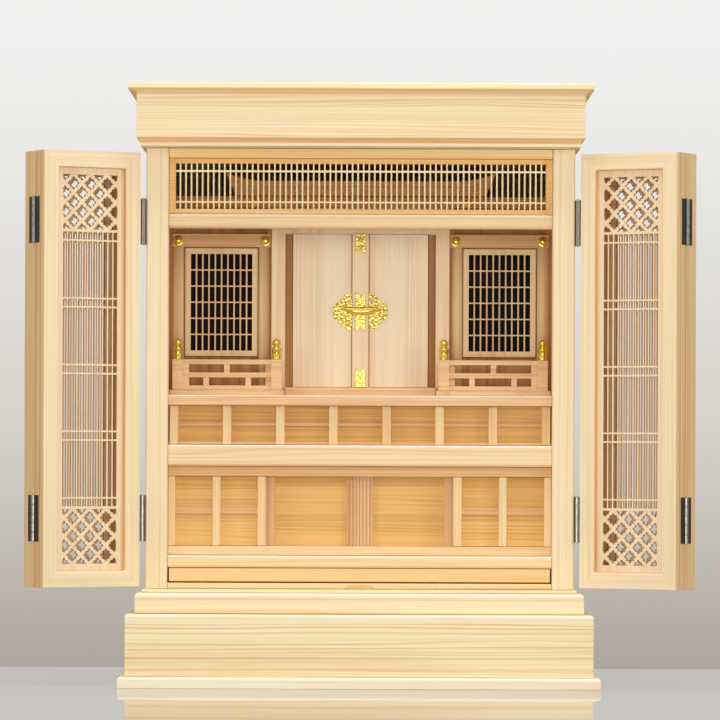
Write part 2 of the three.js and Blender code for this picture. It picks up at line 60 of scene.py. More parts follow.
camera = bpy.data.objects.new("camera", bpy.data.cameras.new("camera"))
bpy.context.collection.objects.link(camera)
camera.data.lens = 225
camera.data.sensor_width = 36
camera.data.shift_y = 1 / 9
camera.location = (CAMERA["aside"] * MM, FRONT - CAMERA["distance"] * MM, CAMERA["height"] * MM)
camera.rotation_euler = Euler((math.radians(90), math.radians(CAMERA["roll"]), 0))
bpy.context.scene.camera = camera

# ------------------------------------------------------------------ studio
# The cabinet stands on a pale polished slab in a white room whose light comes from all round,
# with soft boxes at both sides, one overhead and fainter ones in front. The room darkens towards
# the floor.


def pigment(hex_colour):
    """An sRGB hex colour as the linear values that a shader works in."""
    channels = [int(hex_colour[i : i + 2], 16) / 255 for i in (1, 3, 5)]
    linear = [c / 12.92 if c <= 0.04045 else ((c + 0.055) / 1.055) ** 2.4 for c in channels]
    return (*linear, 1.0)


def node(owner, kind, inputs=None, **settings):
    """Adds a node to a material or world, with its settings, and its inputs as values or links."""
    made = owner.node_tree.nodes.new("ShaderNode" + kind)
    for name, value in settings.items():
        setattr(made, name, value)
    for socket, value in (inputs or {}).items():
        if isinstance(value, bpy.types.NodeSocket):
            owner.node_tree.links.new(value, made.inputs[socket])
        else:
            made.inputs[socket].default_value = value
    return made


def bare(name):
    """A material with an empty node tree."""
    made = bpy.data.materials.new(name)
    made.use_nodes = True
    made.node_tree.nodes.clear()
    return made


def colour_stops(ramp, stops):
    """Gives a colour ramp its (place, hex colour) stops."""
    elements = ramp.color_ramp.elements
    while len(elements) < len(stops):
        elements.new(1.0)
    for element, (place, colour) in zip(elements, stops):
        element.position = place
        element.color = pigment(colour)


bpy.context.scene.view_settings.view_transform = "Standard"

room = bpy.data.worlds.new("white room")
bpy.context.scene.world = room
room.use_nodes = True
room.node_tree.nodes.clear()
direction = node(room, "SeparateXYZ", {0: node(room, "TexCoord").outputs["Generated"]})
height = node(
    room, "MapRange", {"Value": direction.outputs["Z"], "From Min": -0.07, "From Max": 0.13}
)
wall = node(room, "ValToRGB", {0: height.outputs[0]})
colour_stops(wall, [
    (0.0, "#a8a196"), (0.12, "#b1aaa0"), (0.35, "#d6d2cb"), (0.72, "#f0efed"), (1.0, "#f8f8f7"),
])
# the walls are seen in full and mirrored at half, and light the cabinet more weakly and warmly
path = node(room, "LightPath")
looked_at = node(room, "Math", {
    0: path.outputs["Is Glossy Ray"], 1: 0.5, 2: path.outputs["Is Camera Ray"],
}, operation="MULTIPLY_ADD")
strength = node(
    room, "MapRange", {"Value": looked_at.outputs[0], "To Min": 0.54, "To Max": 0.98}
)
cast = node(room, "Mix", {
    0: path.outputs["Is Diffuse Ray"], 6: pigment("#ffffff"), 7: pigment("#ffecd4"),
}, data_type="RGBA")
warmed = node(
    room, "Mix", {0: 1.0, 6: wall.outputs[0], 7: cast.outputs[2]},
    data_type="RGBA", blend_type="MULTIPLY",
)
background = node(
    room, "Background", {"Color": warmed.outputs[2], "Strength": strength.outputs[0]}
)
node(room, "OutputWorld", {0: background.outputs[0]})

# cast acrylic, buffed until it mirrors the foot board: pale, smooth and colourless
polished = bare("polished pale acrylic")
slab_shader = node(polished, "BsdfPrincipled", {
    "Base Color": pigment("#b0aeaa"), "Roughness": 0.03, "IOR": 1.49,
})
node(polished, "OutputMaterial", {0: slab_shader.outputs[0]})

SLAB = {"half_width": 1500 * MM, "front": -1400 * MM, "back": 240 * MM}
bm = bmesh.new()
bmesh.ops.create_grid(bm, x_segments=1, y_segments=1, size=1)
half_depth, middle = (SLAB["back"] - SLAB["front"]) / 2, (SLAB["back"] + SLAB["front"]) / 2
bmesh.ops.scale(bm, vec=(SLAB["half_width"], half_depth, 1), verts=bm.verts)
bmesh.ops.translate(bm, vec=(0, middle, 0), verts=bm.verts)
slab = bpy.data.objects.new("floor", bpy.data.meshes.new("floor"))
bm.to_mesh(slab.data)
bm.free()
slab.data.materials.append(polished)
bpy.context.collection.objects.link(slab)

# each soft box: its place, its width and its power. All look at the cabinet's middle
LIT_HEIGHT = 300
for name, place, size, watts in (
    ("overhead", (0, -500, 2100), 1200, 16.3),
    ("near_front", (0, -1500, 60), 550, 4.1),
    ("wide_front", (0, -2600, 150), 2200, 8.8),
    ("side_left", (-2100, -1450, 700), 900, 12.6),
    ("side_right", (2100, -1450, 700), 900, 15.3),
):
    lamp = bpy.data.lights.new(name, "AREA")
    lamp.size = size * MM
    lamp.energy = watts
    box = bpy.data.objects.new(name, lamp)
    box.location = Vector(place) * MM
    aim = Vector((0, 0, LIT_HEIGHT)) * MM - box.location
    box.rotation_euler = aim.to_track_quat("-Z", "Y").to_euler()
    box.visible_camera = False
    box.visible_glossy = name in ("overhead", "near_front")
    bpy.context.collection.objects.link(box)

# ------------------------------------------------------------------ base
# The foot board, the hollow plinth, the moulding and the thin fillet are planed boards laid on
# each other. Their faces are flat-sawn, so the grain runs across in broad wavy bands.

EASING = 0.5 * MM     # the arris that a plane takes off every edge


def cypress(
    name, grain, pith, pale, deep,
    ring=3.0, wander=9.0, contrast=0.6, roughness=0.55, turn=0, mitred=False, painted_top_highlight=False,
):
    """Planed cypress. The pattern is cut from a log whose fibres run along one axis, X, Y or Z,
    with its heart at pith, two distances across the grain in millimetres. ring is the width of
    a year's growth and wander how far the rings stray. Light early wood ends in a deeper line.
    A board that stands at an angle gives its turn about Z in degrees. A mitred frame has its
    grain along the front and along the sides in turn. The top highlight is a painted highlight:
    faces that tilt upwards, such as a rounded upper edge, are painted paler, as the light from
    above catches them."""
    wood = bare(name)
    order = {"X": ("Y", "Z", "X"), "Y": ("X", "Z", "Y"), "Z": ("X", "Y", "Z")}[grain]
    solid = node(wood, "TexCoord")
    place = node(wood, "Mapping", {0: solid.outputs["Object"], "Scale": (1000,) * 3})
    place.inputs["Rotation"].default_value.z = math.radians(-turn)
    split = node(wood, "SeparateXYZ", {0: place.outputs[0]})
    across, up, along = (split.outputs[axis] for axis in order)
    if mitred:
        facing = node(wood, "SeparateXYZ", {0: solid.outputs["Normal"]})
        sideways = node(wood, "Math", {0: facing.outputs["X"]}, operation="ABSOLUTE")
        sideways = node(wood, "Math", {0: sideways.outputs[0], 1: 0.7}, operation="GREATER_THAN")
        turned_across = node(
            wood, "Mix", {0: sideways.outputs[0], 2: across, 3: along}, data_type="FLOAT"
        )
        turned_along = node(
            wood, "Mix", {0: sideways.outputs[0], 2: along, 3: across}, data_type="FLOAT"
        )
        across, along = turned_across.outputs[0], turned_along.outputs[0]

    # long slow waves carry the rings to and fro along the board
    slow = node(wood, "Math", {0: along, 1: 0.05}, operation="MULTIPLY")
    log = node(wood, "CombineXYZ", {0: across, 1: up, 2: slow.outputs[0]})
    waves = node(wood, "TexNoise", {
        "Vector": log.outputs[0], "Scale": 0.022, "Detail": 2.0, "Roughness": 0.55,
    })
    stray = node(wood, "MapRange", {"Value": waves.outputs[0], "To Min": -wander, "To Max": wander})

    section = node(wood, "CombineXYZ", {0: across, 1: up})
    from_heart = node(
        wood, "VectorMath", {0: section.outputs[0], 1: (*pith, 0)}, operation="DISTANCE"
    )
    radius = node(
        wood, "Math", {0: from_heart.outputs["Value"], 1: stray.outputs[0]}, operation="ADD"
    )
    # a lean year is narrow and a good one wide
    growth = node(
        wood, "TexNoise", {"W": radius.outputs[0], "Scale": 0.35 / ring, "Detail": 1.0},
        noise_dimensions="1D",
    )
    uneven = node(wood, "Math", {0: growth.outputs[0], 1: 4.0, 2: -2.0}, operation="MULTIPLY_ADD")
    evenly = node(wood, "Math", {0: radius.outputs[0], 1: ring}, operation="DIVIDE")
    years = node(wood, "Math", {0: evenly.outputs[0], 1: uneven.outputs[0]}, operation="ADD")
    season = node(wood, "Math", {0: years.outputs[0]}, operation="FRACT")
    # no two years are alike: a noise over the year count fades some of the lines
    vigour = node(
        wood, "TexNoise", {"W": years.outputs[0], "Scale": 0.45, "Detail": 1.0},
        noise_dimensions="1D",
    )
    line = node(wood, "ValToRGB", {0: season.outputs[0]})
    colour_stops(line, [
        (0.0, "#8c8c8c"), (0.08, "#000000"), (0.45, "#000000"), (0.86, "#ffffff"), (1.0, "#8c8c8c"),
    ])
    line_depth = node(
        wood, "Math", {0: line.outputs[0], 1: vigour.outputs[0]}, operation="MULTIPLY"
    )

    # fibres: fine streaks along the grain, drawn coarse enough to show
    drawn = node(wood, "Math", {0: along, 1: 0.012}, operation="MULTIPLY")
    bundle = node(wood, "CombineXYZ", {0: across, 1: up, 2: drawn.outputs[0]})
    fibres = node(wood, "TexNoise", {
        "Vector": bundle.outputs[0], "Scale": 0.55, "Detail": 3.0, "Roughness": 0.7,
    })
    blotches = node(wood, "TexNoise", {"Vector": log.outputs[0], "Scale": 0.05, "Detail": 1.0})
    fibre_share, blotch_share = (
        node(wood, "MapRange", {
            "Value": noise.outputs[0], "From Min": 0.3, "From Max": 0.7,
            "To Min": -reach, "To Max": reach,
        })
        for noise, reach in ((fibres, 0.22), (blotches, 0.2))
    )
    ring_share = node(
        wood, "Math", {0: line_depth.outputs[0], 1: 1.5 * contrast}, operation="MULTIPLY"
    )
    share = node(
        wood, "Math", {0: ring_share.outputs[0], 1: fibre_share.outputs[0]}, operation="ADD"
    )
    share = node(wood, "Math", {0: share.outputs[0], 1: blotch_share.outputs[0]}, operation="ADD")
    tone = node(wood, "Math", {0: share.outputs[0], 1: 0.12}, operation="ADD", use_clamp=True)

    colour = node(
        wood, "Mix", {0: tone.outputs[0], 6: pigment(pale), 7: pigment(deep)}, data_type="RGBA"
    )
    # painted highlight: faces that tilt upwards, but not flat tops, are mixed towards near white
    if painted_top_highlight:
        rounded = node(wood, "SeparateXYZ", {0: solid.outputs["Normal"]})
        edge = node(wood, "ValToRGB", {0: rounded.outputs["Z"]})
        colour_stops(edge, [
            (0.08, "#000000"), (0.4, "#ffffff"), (0.93, "#ffffff"), (0.98, "#000000"),
        ])
        colour = node(wood, "Mix", {
            0: edge.outputs[0], 6: colour.outputs[2], 7: pigment("#fffcf4"),
        }, data_type="RGBA")
    sheen = node(wood, "MapRange", {
        "Value": fibres.outputs[0], "To Min": roughness - 0.07, "To Max": roughness + 0.07,
    })
    relief = node(wood, "Bump", {"Height": share.outputs[0], "Strength": 0.12, "Distance": 0.0003})
    surface = node(wood, "BsdfPrincipled", {
        "Base Color": colour.outputs[2], "Roughness": sheen.outputs[0],
        "Normal": relief.outputs[0], "IOR": 1.5,
    })
    node(wood, "OutputMaterial", {0: surface.outputs[0]})
    return wood


def plane_edges(piece, arris):
    """Takes a narrow rounded arris off a piece's sharp edges."""
    bevel = piece.modifiers.new("arris", "BEVEL")
    bevel.width = arris
    bevel.segments = 2
    bevel.limit_method = "ANGLE"
    bevel.angle_limit = math.radians(32)
    bevel.harden_normals = True


def ease(name, material, arris=EASING):
    """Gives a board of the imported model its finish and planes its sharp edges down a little."""
    board = frame["nodes"][name]
    board.data.materials.clear()
    board.data.materials.append(material)
    weld = board.modifiers.new("weld", "WELD")
    weld.merge_threshold = 0.01 * MM
    plane_edges(board, arris)


BASE_PALE, BASE_DEEP = "#fff3cd", "#efca8e"
BASE_EDGE = 1.4 * MM
foot = cypress(
    "foot cypress", "X", (-420, -60), "#fff6dd", "#f1d3a2",
    ring=4.0, wander=5, mitred=True, painted_top_highlight=True,
)
plinth = cypress(
    "plinth cypress", "X", (-160, -55), BASE_PALE, BASE_DEEP,
    ring=3.8, wander=15, contrast=0.9, mitred=True, painted_top_highlight=True,
)
moulding = cypress(
    "moulding cypress", "X", (-300, 160), BASE_PALE, BASE_DEEP,
    ring=3.6, wander=8, contrast=0.8, mitred=True, painted_top_highlight=True,
)
ease("foot_board", foot, BASE_EDGE)
ease("plinth", plinth, BASE_EDGE)
ease("base_moulding", moulding, BASE_EDGE)
ease("base_fillet", cypress("fillet cypress", "X", (-300, 20), BASE_PALE, BASE_DEEP), 0.3 * MM)

# ------------------------------------------------------------------ carcass
# Four square posts are housed into the base, with thin side and back panels let in between them.
# Posts are sawn with the rings edge on, so straight close lines run up them.

STILE_PALE, STILE_DEEP = "#fcebc9", "#efd3a0"
for side, heart in (("left", -900), ("right", 900)):
    straight = cypress(
        f"{side} stile cypress", "Z", (heart, -160), STILE_PALE, STILE_DEEP, ring=3.2, wander=3
    )
    ease(f"{side}_front_stile", straight)
    ease(f"{side}_rear_post", straight)
    figured = cypress(
        f"{side} panel cypress", "Z", (heart / 3, 0), STILE_PALE, STILE_DEEP, ring=6, wander=16
    )
    ease(f"{side}_side_panel", figured)
figured = cypress("back cypress", "Z", (40, 520), STILE_PALE, STILE_DEEP, ring=6, wander=16)
ease("back_panel", figured)
# painted light: the ceiling board and top rail are coloured warmer and brighter, to make up for the
# shade under the crown
inside = cypress("ceiling cypress", "X", (-200, 640), "#ffe6b0", "#f7c884", ring=4)
ease("ceiling_board", inside)
ease("top_rail", inside)

# ------------------------------------------------------------------ crown
# A hollow frame with a cove at its foot and another under the thin slab that closes it. The front
# is one wide flat-sawn board with a long wavy figure.

CROWN = {"cove": 8.1, "foot_cove": 4, "height": 5.2, "fillet": 3.2, "board": 18}
frieze = cypress(
    "crown cypress", "X", (-160, 380), "#ffefca", "#edca92",
    ring=3.4, wander=20, contrast=0.9, mitred=True,
)
ease("crown_frieze", frieze, 0.3 * MM)
top = cypress("slab cypress", "X", (100, 480), "#fff4cc", "#f7deaa", ring=3.6, mitred=True)
ease("crown_slab", top)


def corners(name):
    """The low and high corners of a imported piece, in millimetres."""
    return [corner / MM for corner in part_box(name)]


def plank(bm, low, high):
    """Adds a square-edged block between two corners."""
    middle = (Vector(low) + Vector(high)) / 2
    size = [abs(h - l) for l, h in zip(low, high)]
    made = bmesh.ops.create_cube(bm, size=1)["verts"]
    bmesh.ops.scale(bm, vec=size, verts=made)
    bmesh.ops.translate(bm, vec=middle, verts=made)


def fresh(swept):
    """The vertices among what an extrusion made."""
    return [part for part in swept if isinstance(part, bmesh.types.BMVert)]


def fit(name, bm, materials, body, arris=None, unit=MM):
    """Makes a finished piece, drawn in millimetres unless its unit says otherwise, that moves
    with a body and takes its finish from a slot. Its edges are eased if an arris is given."""
    bmesh.ops.scale(bm, vec=(unit, unit, unit), verts=bm.verts)
    bmesh.ops.recalc_face_normals(bm, faces=bm.faces)
    mesh = bpy.data.meshes.new(name)
    bm.to_mesh(mesh)
    bm.free()
    made = bpy.data.objects.new(name, mesh)
    for material in materials:
        mesh.materials.append(material)
    bpy.context.collection.objects.link(made)
    if arris:
        plane_edges(made, arris)
    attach(made, body)
    return made


# the coves get painted shade: each is a thin skin in a deeper colour, for the shade in the
# hollow, that stands a hair proud of the frame, swept up in steps from its lower edge
COVE_STEPS, PROUD = 8, 0.12
low, high = corners("crown_frieze")
half_fascia, fascia = high.x - CROWN["cove"], low.y + CROWN["cove"]
bm = bmesh.new()
for start, reach, bottom in (
    (0, CROWN["cove"], high.z - CROWN["height"]),
    (CROWN["foot_cove"], CROWN["foot_cove"], low.z + CROWN["fillet"] - 0.2),
):
    x, y, rear = half_fascia - start + PROUD, fascia + start - PROUD, high.y - 1
    row = [bm.verts.new((*p, bottom)) for p in ((-x, rear), (-x, y), (x, y), (x, rear))]
    edges = [bm.edges.new(pair) for pair in zip(row, row[1:])]
    for i in range(1, COVE_STEPS + 1):
        angle = i / COVE_STEPS * math.pi / 2
        out = reach * (1 - math.cos(angle)) - start + PROUD
        swept = bmesh.ops.extrude_edge_only(bm, edges=edges)["geom"]
        row = fresh(swept)
        for vert in row:
            vert.co.x = math.copysign(half_fascia + out, vert.co.x)
            vert.co.y = rear if vert.co.y > y + 1 else fascia - out
            vert.co.z = bottom + CROWN["height"] * math.sin(angle)
        edges = [
            part for part in swept
            if isinstance(part, bmesh.types.BMEdge) and all(v in row for v in part.verts)
        ]
bm.normal_update()
bmesh.ops.solidify(bm, geom=bm.faces[:], thickness=-0.1)
cove = cypress("cove cypress", "X", (-160, 380), "#f3cc92", "#dda362", ring=3.4, mitred=True)
fit("crown_cove_shade", bm, [cove], "cabinet")

# a pale bead round its foot, and the board that closes it underneath
bm = bmesh.new()
x, y = half_fascia - CROWN["foot_cove"] + 0.4, fascia + CROWN["foot_cove"] - 0.4
plank(bm, (-x, y, low.z + 0.1), (x, y + 3, low.z + CROWN["fillet"]))
for sign in (-1, 1):
    rear = (sign * (x - 3), high.y - 1, low.z + CROWN["fillet"])
    plank(bm, (sign * x, y + 3, low.z + 0.1), rear)
inner = half_fascia - CROWN["board"] + 1
plank(bm, (-inner, fascia + CROWN["board"] - 1, low.z + 0.1), (inner, FRONT / MM + 2, low.z + 2))
bead = cypress("bead cypress", "X", (200, 380), "#fff3d2", "#f5dcaf", ring=4, mitred=True)
fit("crown_bead", bm, [bead], "cabinet", 0.4 * MM)

# ------------------------------------------------------------------ shelves
# Three shelves and the bottom board are housed between the posts. Their nosings catch the light.

bottom = cypress("bottom cypress", "X", (-200, 40), "#fae2b0", "#e8bf7d", ring=3.6)
ease("bottom_board", bottom)
for level, heart, pale, deep, arris in (
    ("lower", 180, "#fbe3b2", "#eac387", 1 * MM),
    ("middle", 300, "#fce2b6", "#e9bf88", 1 * MM),
    ("upper", 340, "#f6d2a2", "#dfad74", 0.8 * MM),
):
    shelf = cypress(f"{level} shelf cypress", "X", (-260, heart), pale, deep, ring=4, painted_top_highlight=True)
    ease(f"{level}_shelf", shelf, arris)

# ------------------------------------------------------------------ offering tray
# A board with a thick front edge that slides out over the bottom board, of a redder plank.

ease("offering_tray", cypress("tray cypress", "X", (-330, 90), "#fbd398", "#e9b06a", ring=3.4))

# ------------------------------------------------------------------ transom and lintel
# Sixty-six thin slats stand in a rebated frame, held by two fine rods near their ends, over a
# plain rail.

TRANSOM = {"frame": 5, "half_width": 185.3, "gaps": 67, "slat": 1.5, "overlap": 1.1}
RODS = ((11, 1.6), (41.7, 2))     # each rod's height over the frame's foot, and its thickness
slat_wood = cypress("slat cypress", "Z", (0, -600), "#fff3cc", "#f8daa0", ring=5)
# painted shade: the frame is coloured deeper and more orange than the slats, for the shade of its
# recess
rebated = cypress("transom frame cypress", "X", (-200, 800), "#fad08c", "#e8ac60", ring=4)
low, high = corners("transom_lattice")
field, border = TRANSOM["half_width"], TRANSOM["frame"]
bm = bmesh.new()
for end in (-1, 1):
    plank(bm, (end * field, low.y, low.z), (end * high.x, high.y, high.z))
    z = low.z if end < 0 else high.z
    plank(bm, (-field, low.y, z), (field, high.y, z - end * border))
fit("transom_frame", bm, [rebated], "cabinet", 0.4 * MM)

bm = bmesh.new()
pitch = 2 * (field + TRANSOM["overlap"]) / TRANSOM["gaps"]
for i in range(1, TRANSOM["gaps"]):
    x, half = i * pitch - field - TRANSOM["overlap"], TRANSOM["slat"] / 2
    plank(bm, (x - half, low.y + 0.2, low.z + border), (x + half, low.y + 4, high.z - border))
for rod_height, rod_depth in RODS:
    foot_of_rod = low.z + rod_height
    plank(bm, (-field, low.y - 1.2, foot_of_rod), (field, low.y + 0.8, foot_of_rod + rod_depth))
transom_slats = fit("transom_slats", bm, [slat_wood], "cabinet", 0.2 * MM)
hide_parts("transom_lattice")

lintel = cypress("lintel cypress", "X", (-200, 600), "#f8ddaf", "#e3bb80", ring=4, painted_top_highlight=True)
ease("lintel_rail", lintel)

# ------------------------------------------------------------------ folding doors
# Each side has two leaves, folded face to face, the outer behind the inner. A leaf is a mitred
# frame with eased inner edges, and a lattice of thin slats set back in it.

LEAF = {"start": 2.7, "width": 106.5, "height": 433.6, "thickness": 22, "stile": 16.7, "face": 0.3}
FOLD_DEPTH = LEAF["face"] + LEAF["thickness"] + 0.5
LEAF_MIDDLE = LEAF["start"] + LEAF["width"] / 2
OPENED = 151     # degrees that the doors stand open
DOOR_HEIGHT = (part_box("left_inner_leaf")[0].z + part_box("left_inner_leaf")[1].z) / 2


def door_hinge(side):
    """The axis on which a pair of leaves swings, at their middle height."""
    hinge = Vector(next(j["pos_m"] for j in frame["joints"] if j["name"] == f"{side}_door_swing"))
    hinge.z = DOOR_HEIGHT
    return hinge


def leaf_place(side, folded):
    """Where a leaf's own millimetres lie in the cabinet: along it from the hinge, depth out from
    its inner face, and height from its middle."""
    turn = -1 if side == "left" else 1
    depth = Matrix()
    if folded:
        depth = Matrix.Translation((0, 2 * FOLD_DEPTH, 0)) @ Matrix.Diagonal((1, -1, 1, 1))
    closed = Matrix.Diagonal((-turn * MM, -MM, MM, 1))
    opened = Matrix.Rotation(turn * math.radians(OPENED), 4, "Z")
    return Matrix.Translation(door_hinge(side)) @ opened @ closed @ depth


def mitred_frame(bm, half_width, half_height, member, front, back, easing):
    """Four members mitred at the corners round an opening, its edges rounded on both faces."""
    bmesh.ops.create_grid(bm, x_segments=1, y_segments=1, size=1)
    bmesh.ops.rotate(bm, verts=bm.verts, matrix=Matrix.Rotation(math.pi / 2, 3, "X"))
    bmesh.ops.scale(bm, vec=(half_width, 1, half_height), verts=bm.verts)
    bmesh.ops.translate(bm, vec=(LEAF_MIDDLE, front, 0), verts=bm.verts)
    opening = bm.faces[:]
    bmesh.ops.inset_region(
        bm, faces=opening, thickness=member, use_boundary=True, use_even_offset=True
    )
    bmesh.ops.delete(bm, geom=opening, context="FACES")
    swept = bmesh.ops.extrude_face_region(bm, geom=bm.faces[:], use_keep_orig=True)["geom"]
    bmesh.ops.translate(bm, vec=(0, back - front, 0), verts=fresh(swept))
    bmesh.ops.recalc_face_normals(bm, faces=bm.faces)
    inner = [
        e for e in bm.edges
        if all(abs(v.co.x - LEAF_MIDDLE) < half_width - member / 2 for v in e.verts)
        and all(abs(v.co.z) < half_height - member / 2 for v in e.verts)
        and abs(e.verts[0].co.y - e.verts[1].co.y) < 1e-6
    ]
    bmesh.ops.bevel(
        bm, geom=inner, offset=easing, segments=4, profile=0.5, affect="EDGES", material=-1
    )


def lobed_openings(bm, half_width, low, high, step, front, back):
    """A board pierced by four-lobed flowers on a diagonal grid, cut off square at its edges."""
    around, reach = 48, 4
    hole = bmesh.ops.create_circle(bm, segments=around, radius=1)["verts"]
    cell = bmesh.ops.create_circle(bm, segments=around, radius=1)["verts"]
    for vert in hole:
        angle = math.atan2(vert.co.y, vert.co.x)
        vert.co *= 5.4 + 0.5 * math.cos(4 * angle) + 0.7 * math.cos(8 * angle)
    for vert in cell:
        vert.co *= step / (abs(vert.co.x) + abs(vert.co.y))
    bmesh.ops.bridge_loops(bm, edges=bm.edges[:])
    bmesh.ops.rotate(bm, verts=bm.verts, matrix=Matrix.Rotation(math.pi / 2, 3, "X"))
    bmesh.ops.translate(bm, vec=(LEAF_MIDDLE, front, (low + high) / 2), verts=bm.verts)
    tile = bm.verts[:] + bm.edges[:] + bm.faces[:]
    for i in range(-reach, reach + 1):
        for j in range(-reach, reach + 1):
            if (i, j) != (0, 0) and (i + j) % 2 == 0:
                copy = bmesh.ops.duplicate(bm, geom=tile)["geom"]
                bmesh.ops.translate(bm, vec=(i * step, 0, j * step), verts=fresh(copy))
    bmesh.ops.remove_doubles(bm, verts=bm.verts, dist=0.01)
    for normal, point in (
        ((1, 0, 0), (LEAF_MIDDLE + half_width, 0, 0)),
        ((-1, 0, 0), (LEAF_MIDDLE - half_width, 0, 0)),
        ((0, 0, 1), (0, 0, high)),
        ((0, 0, -1), (0, 0, low)),
    ):
        bmesh.ops.bisect_plane(
            bm, geom=bm.verts[:] + bm.edges[:] + bm.faces[:], plane_co=point, plane_no=normal,
            clear_outer=True,
        )
    swept = bmesh.ops.extrude_face_region(bm, geom=bm.faces[:], use_keep_orig=True)["geom"]
    bmesh.ops.translate(bm, vec=(0, back - front, 0), verts=fresh(swept))


LATTICE = {
    "half_width": 29.8, "gaps": 11, "slat": 1.6, "front": 5.8, "back": 11.8,
    "bar": 136.4, "slat_end": 136.5,
    "rod_pairs": (-132.4, -66.2, 0, 66.2, 132.4), "rod_apart": 4.35, "rod": 0.9,
}
FLOWERS = {"low": 139.1, "high": 193.4, "step": 9.25, "front": 6.2, "back": 9.4}
DOOR_PALE, DOOR_DEEP = "#fdedcb", "#f0d6a6"
half_width, half_height = LEAF["width"] / 2, LEAF["height"] / 2
field, front, depth = LATTICE["half_width"], LATTICE["front"], LATTICE["back"]
left, right = LEAF_MIDDLE - field, LEAF_MIDDLE + field
for side, angle in (("left", -OPENED), ("right", OPENED)):
    stile_wood = cypress(
        f"{side} door stile", "Z", (0, 700), DOOR_PALE, DOOR_DEEP, ring=3, wander=4, turn=angle
    )
    rail_wood = cypress(
        f"{side} door rail", "X", (500, 0), DOOR_PALE, DOOR_DEEP, ring=3, wander=4, turn=angle
    )
    # painted shade: the leaves' edges, the rebates, and the sides of the slats and of the flower
    # holes are coloured deeper, for the shade that falls on them
    rebate_shade_wood = cypress(
        f"{side} door rebate", "Z", (0, 600), "#eec080", "#cd924c", ring=4, wander=4, turn=angle
    )
    edge_shade_wood = cypress(
        f"{side} door edge", "Z", (0, 900), "#ebcd9c", "#cf9f64",
        ring=4, wander=6, contrast=0.9, turn=angle,
    )
    slat_side_shade_wood = cypress(
        f"{side} door lattice, sawn sides", "Z", (0, 500), "#d4a982", "#ad7f58",
        ring=4, wander=4, turn=angle,
    )
    fine_wood = cypress(
        f"{side} door lattice", "Z", (0, 500), "#fdeac8", "#f2d3a6", ring=4, wander=4, turn=angle
    )
    for leaf, folded in (("inner", False), ("outer", True)):
        place = leaf_place(side, folded)
        body = f"{side}_{leaf}_leaf"

        bm = bmesh.new()
        leaf_back = LEAF["face"] + LEAF["thickness"]
        mitred_frame(bm, half_width, half_height, LEAF["stile"], LEAF["face"], leaf_back, 2)
        bm.normal_update()
        for face in bm.faces:
            centre = face.calc_center_median()
            off_middle = max(abs(centre.x - LEAF_MIDDLE) - half_width, abs(centre.z) - half_height)
            face.material_index = int(abs(centre.z) > half_height - LEAF["stile"] - 1)
            # faces that turn sideways take the deeper edge and rebate woods: painted shade
            if abs(face.normal.y) < 0.8:
                face.material_index = 3 if off_middle > -1 else 2
        bmesh.ops.transform(bm, matrix=place, verts=bm.verts)
        woods = [stile_wood, rail_wood, rebate_shade_wood, edge_shade_wood]
        leaf_frame = fit(f"{body}_frame", bm, woods, body, EASING, unit=1)

        # the lattice's own border, its slats, and the rods that cross them in pairs
        bm = bmesh.new()
        edge, top = half_width - LEAF["stile"] + 2, half_height - LEAF["stile"] + 2
        for end in (-1, 1):
            side_in, side_out = LEAF_MIDDLE + end * field, LEAF_MIDDLE + end * edge
            plank(bm, (side_in, front, -top), (side_out, depth, top))
            plank(bm, (left, front, end * FLOWERS["high"]), (right, depth, end * top))
            plank(bm, (left, front, end * LATTICE["bar"]), (right, depth, end * FLOWERS["low"]))
        gap = (2 * field - (LATTICE["gaps"] - 1) * LATTICE["slat"]) / LATTICE["gaps"]
        slat_end = LATTICE["slat_end"]
        for i in range(1, LATTICE["gaps"]):
            x = left + i * (gap + LATTICE["slat"])
            plank(bm, (x - LATTICE["slat"], front + 0.3, -slat_end), (x, front + 2.8, slat_end))
        for pair in LATTICE["rod_pairs"]:
            for rod in (pair - LATTICE["rod_apart"], pair + LATTICE["rod_apart"]):
                if abs(rod) < LATTICE["bar"]:
                    rod_low, rod_high = rod - LATTICE["rod"], rod + LATTICE["rod"]
                    plank(bm, (left, front, rod_low), (right, front + 3, rod_high))
        bm.normal_update()
        for face in bm.faces:
            among_slats = abs(face.calc_center_median().z) < slat_end
            # the slats' sides take the deeper wood: painted shade
            face.material_index = int(abs(face.normal.x) > 0.8 and among_slats)
        bmesh.ops.transform(bm, matrix=place, verts=bm.verts)
        fit(f"{body}_lattice", bm, [fine_wood, slat_side_shade_wood], body, 0.25 * MM, unit=1)

        bm = bmesh.new()
        for end in (-1, 1):
            low, high = sorted((end * FLOWERS["low"], end * FLOWERS["high"]))
            panel = bmesh.new()
            lobed_openings(
                panel, field + 0.5, low, high, FLOWERS["step"], FLOWERS["front"], FLOWERS["back"]
            )
            panel.normal_update()
            for face in panel.faces:
                # the walls of the flower holes take the deeper wood: painted shade
                face.material_index = int(abs(face.normal.y) < 0.5)
            bmesh.ops.transform(panel, matrix=place, verts=panel.verts)
            scratch = bpy.data.meshes.new("flowers")
            panel.to_mesh(scratch)
            panel.free()
            bm.from_mesh(scratch)
        fit(f"{body}_flowers", bm, [fine_wood, slat_side_shade_wood], body, unit=1)
        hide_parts(body)

# ------------------------------------------------------------------ hinges
# Nickel-plated steel butt hinges with loose pins, each with two plates let into the wood by three
# countersunk screws. One plate carries three of the five knuckles and the other plate two.

HINGE = {
    "length": 46, "radius": 2.1, "clearance": 0.35, "pin": 1.1, "pin_end": 0.8, "spread": 296.5,
    "screw": 1.9, "screws": (-15, 0, 15), "stagger": 1.5,
}


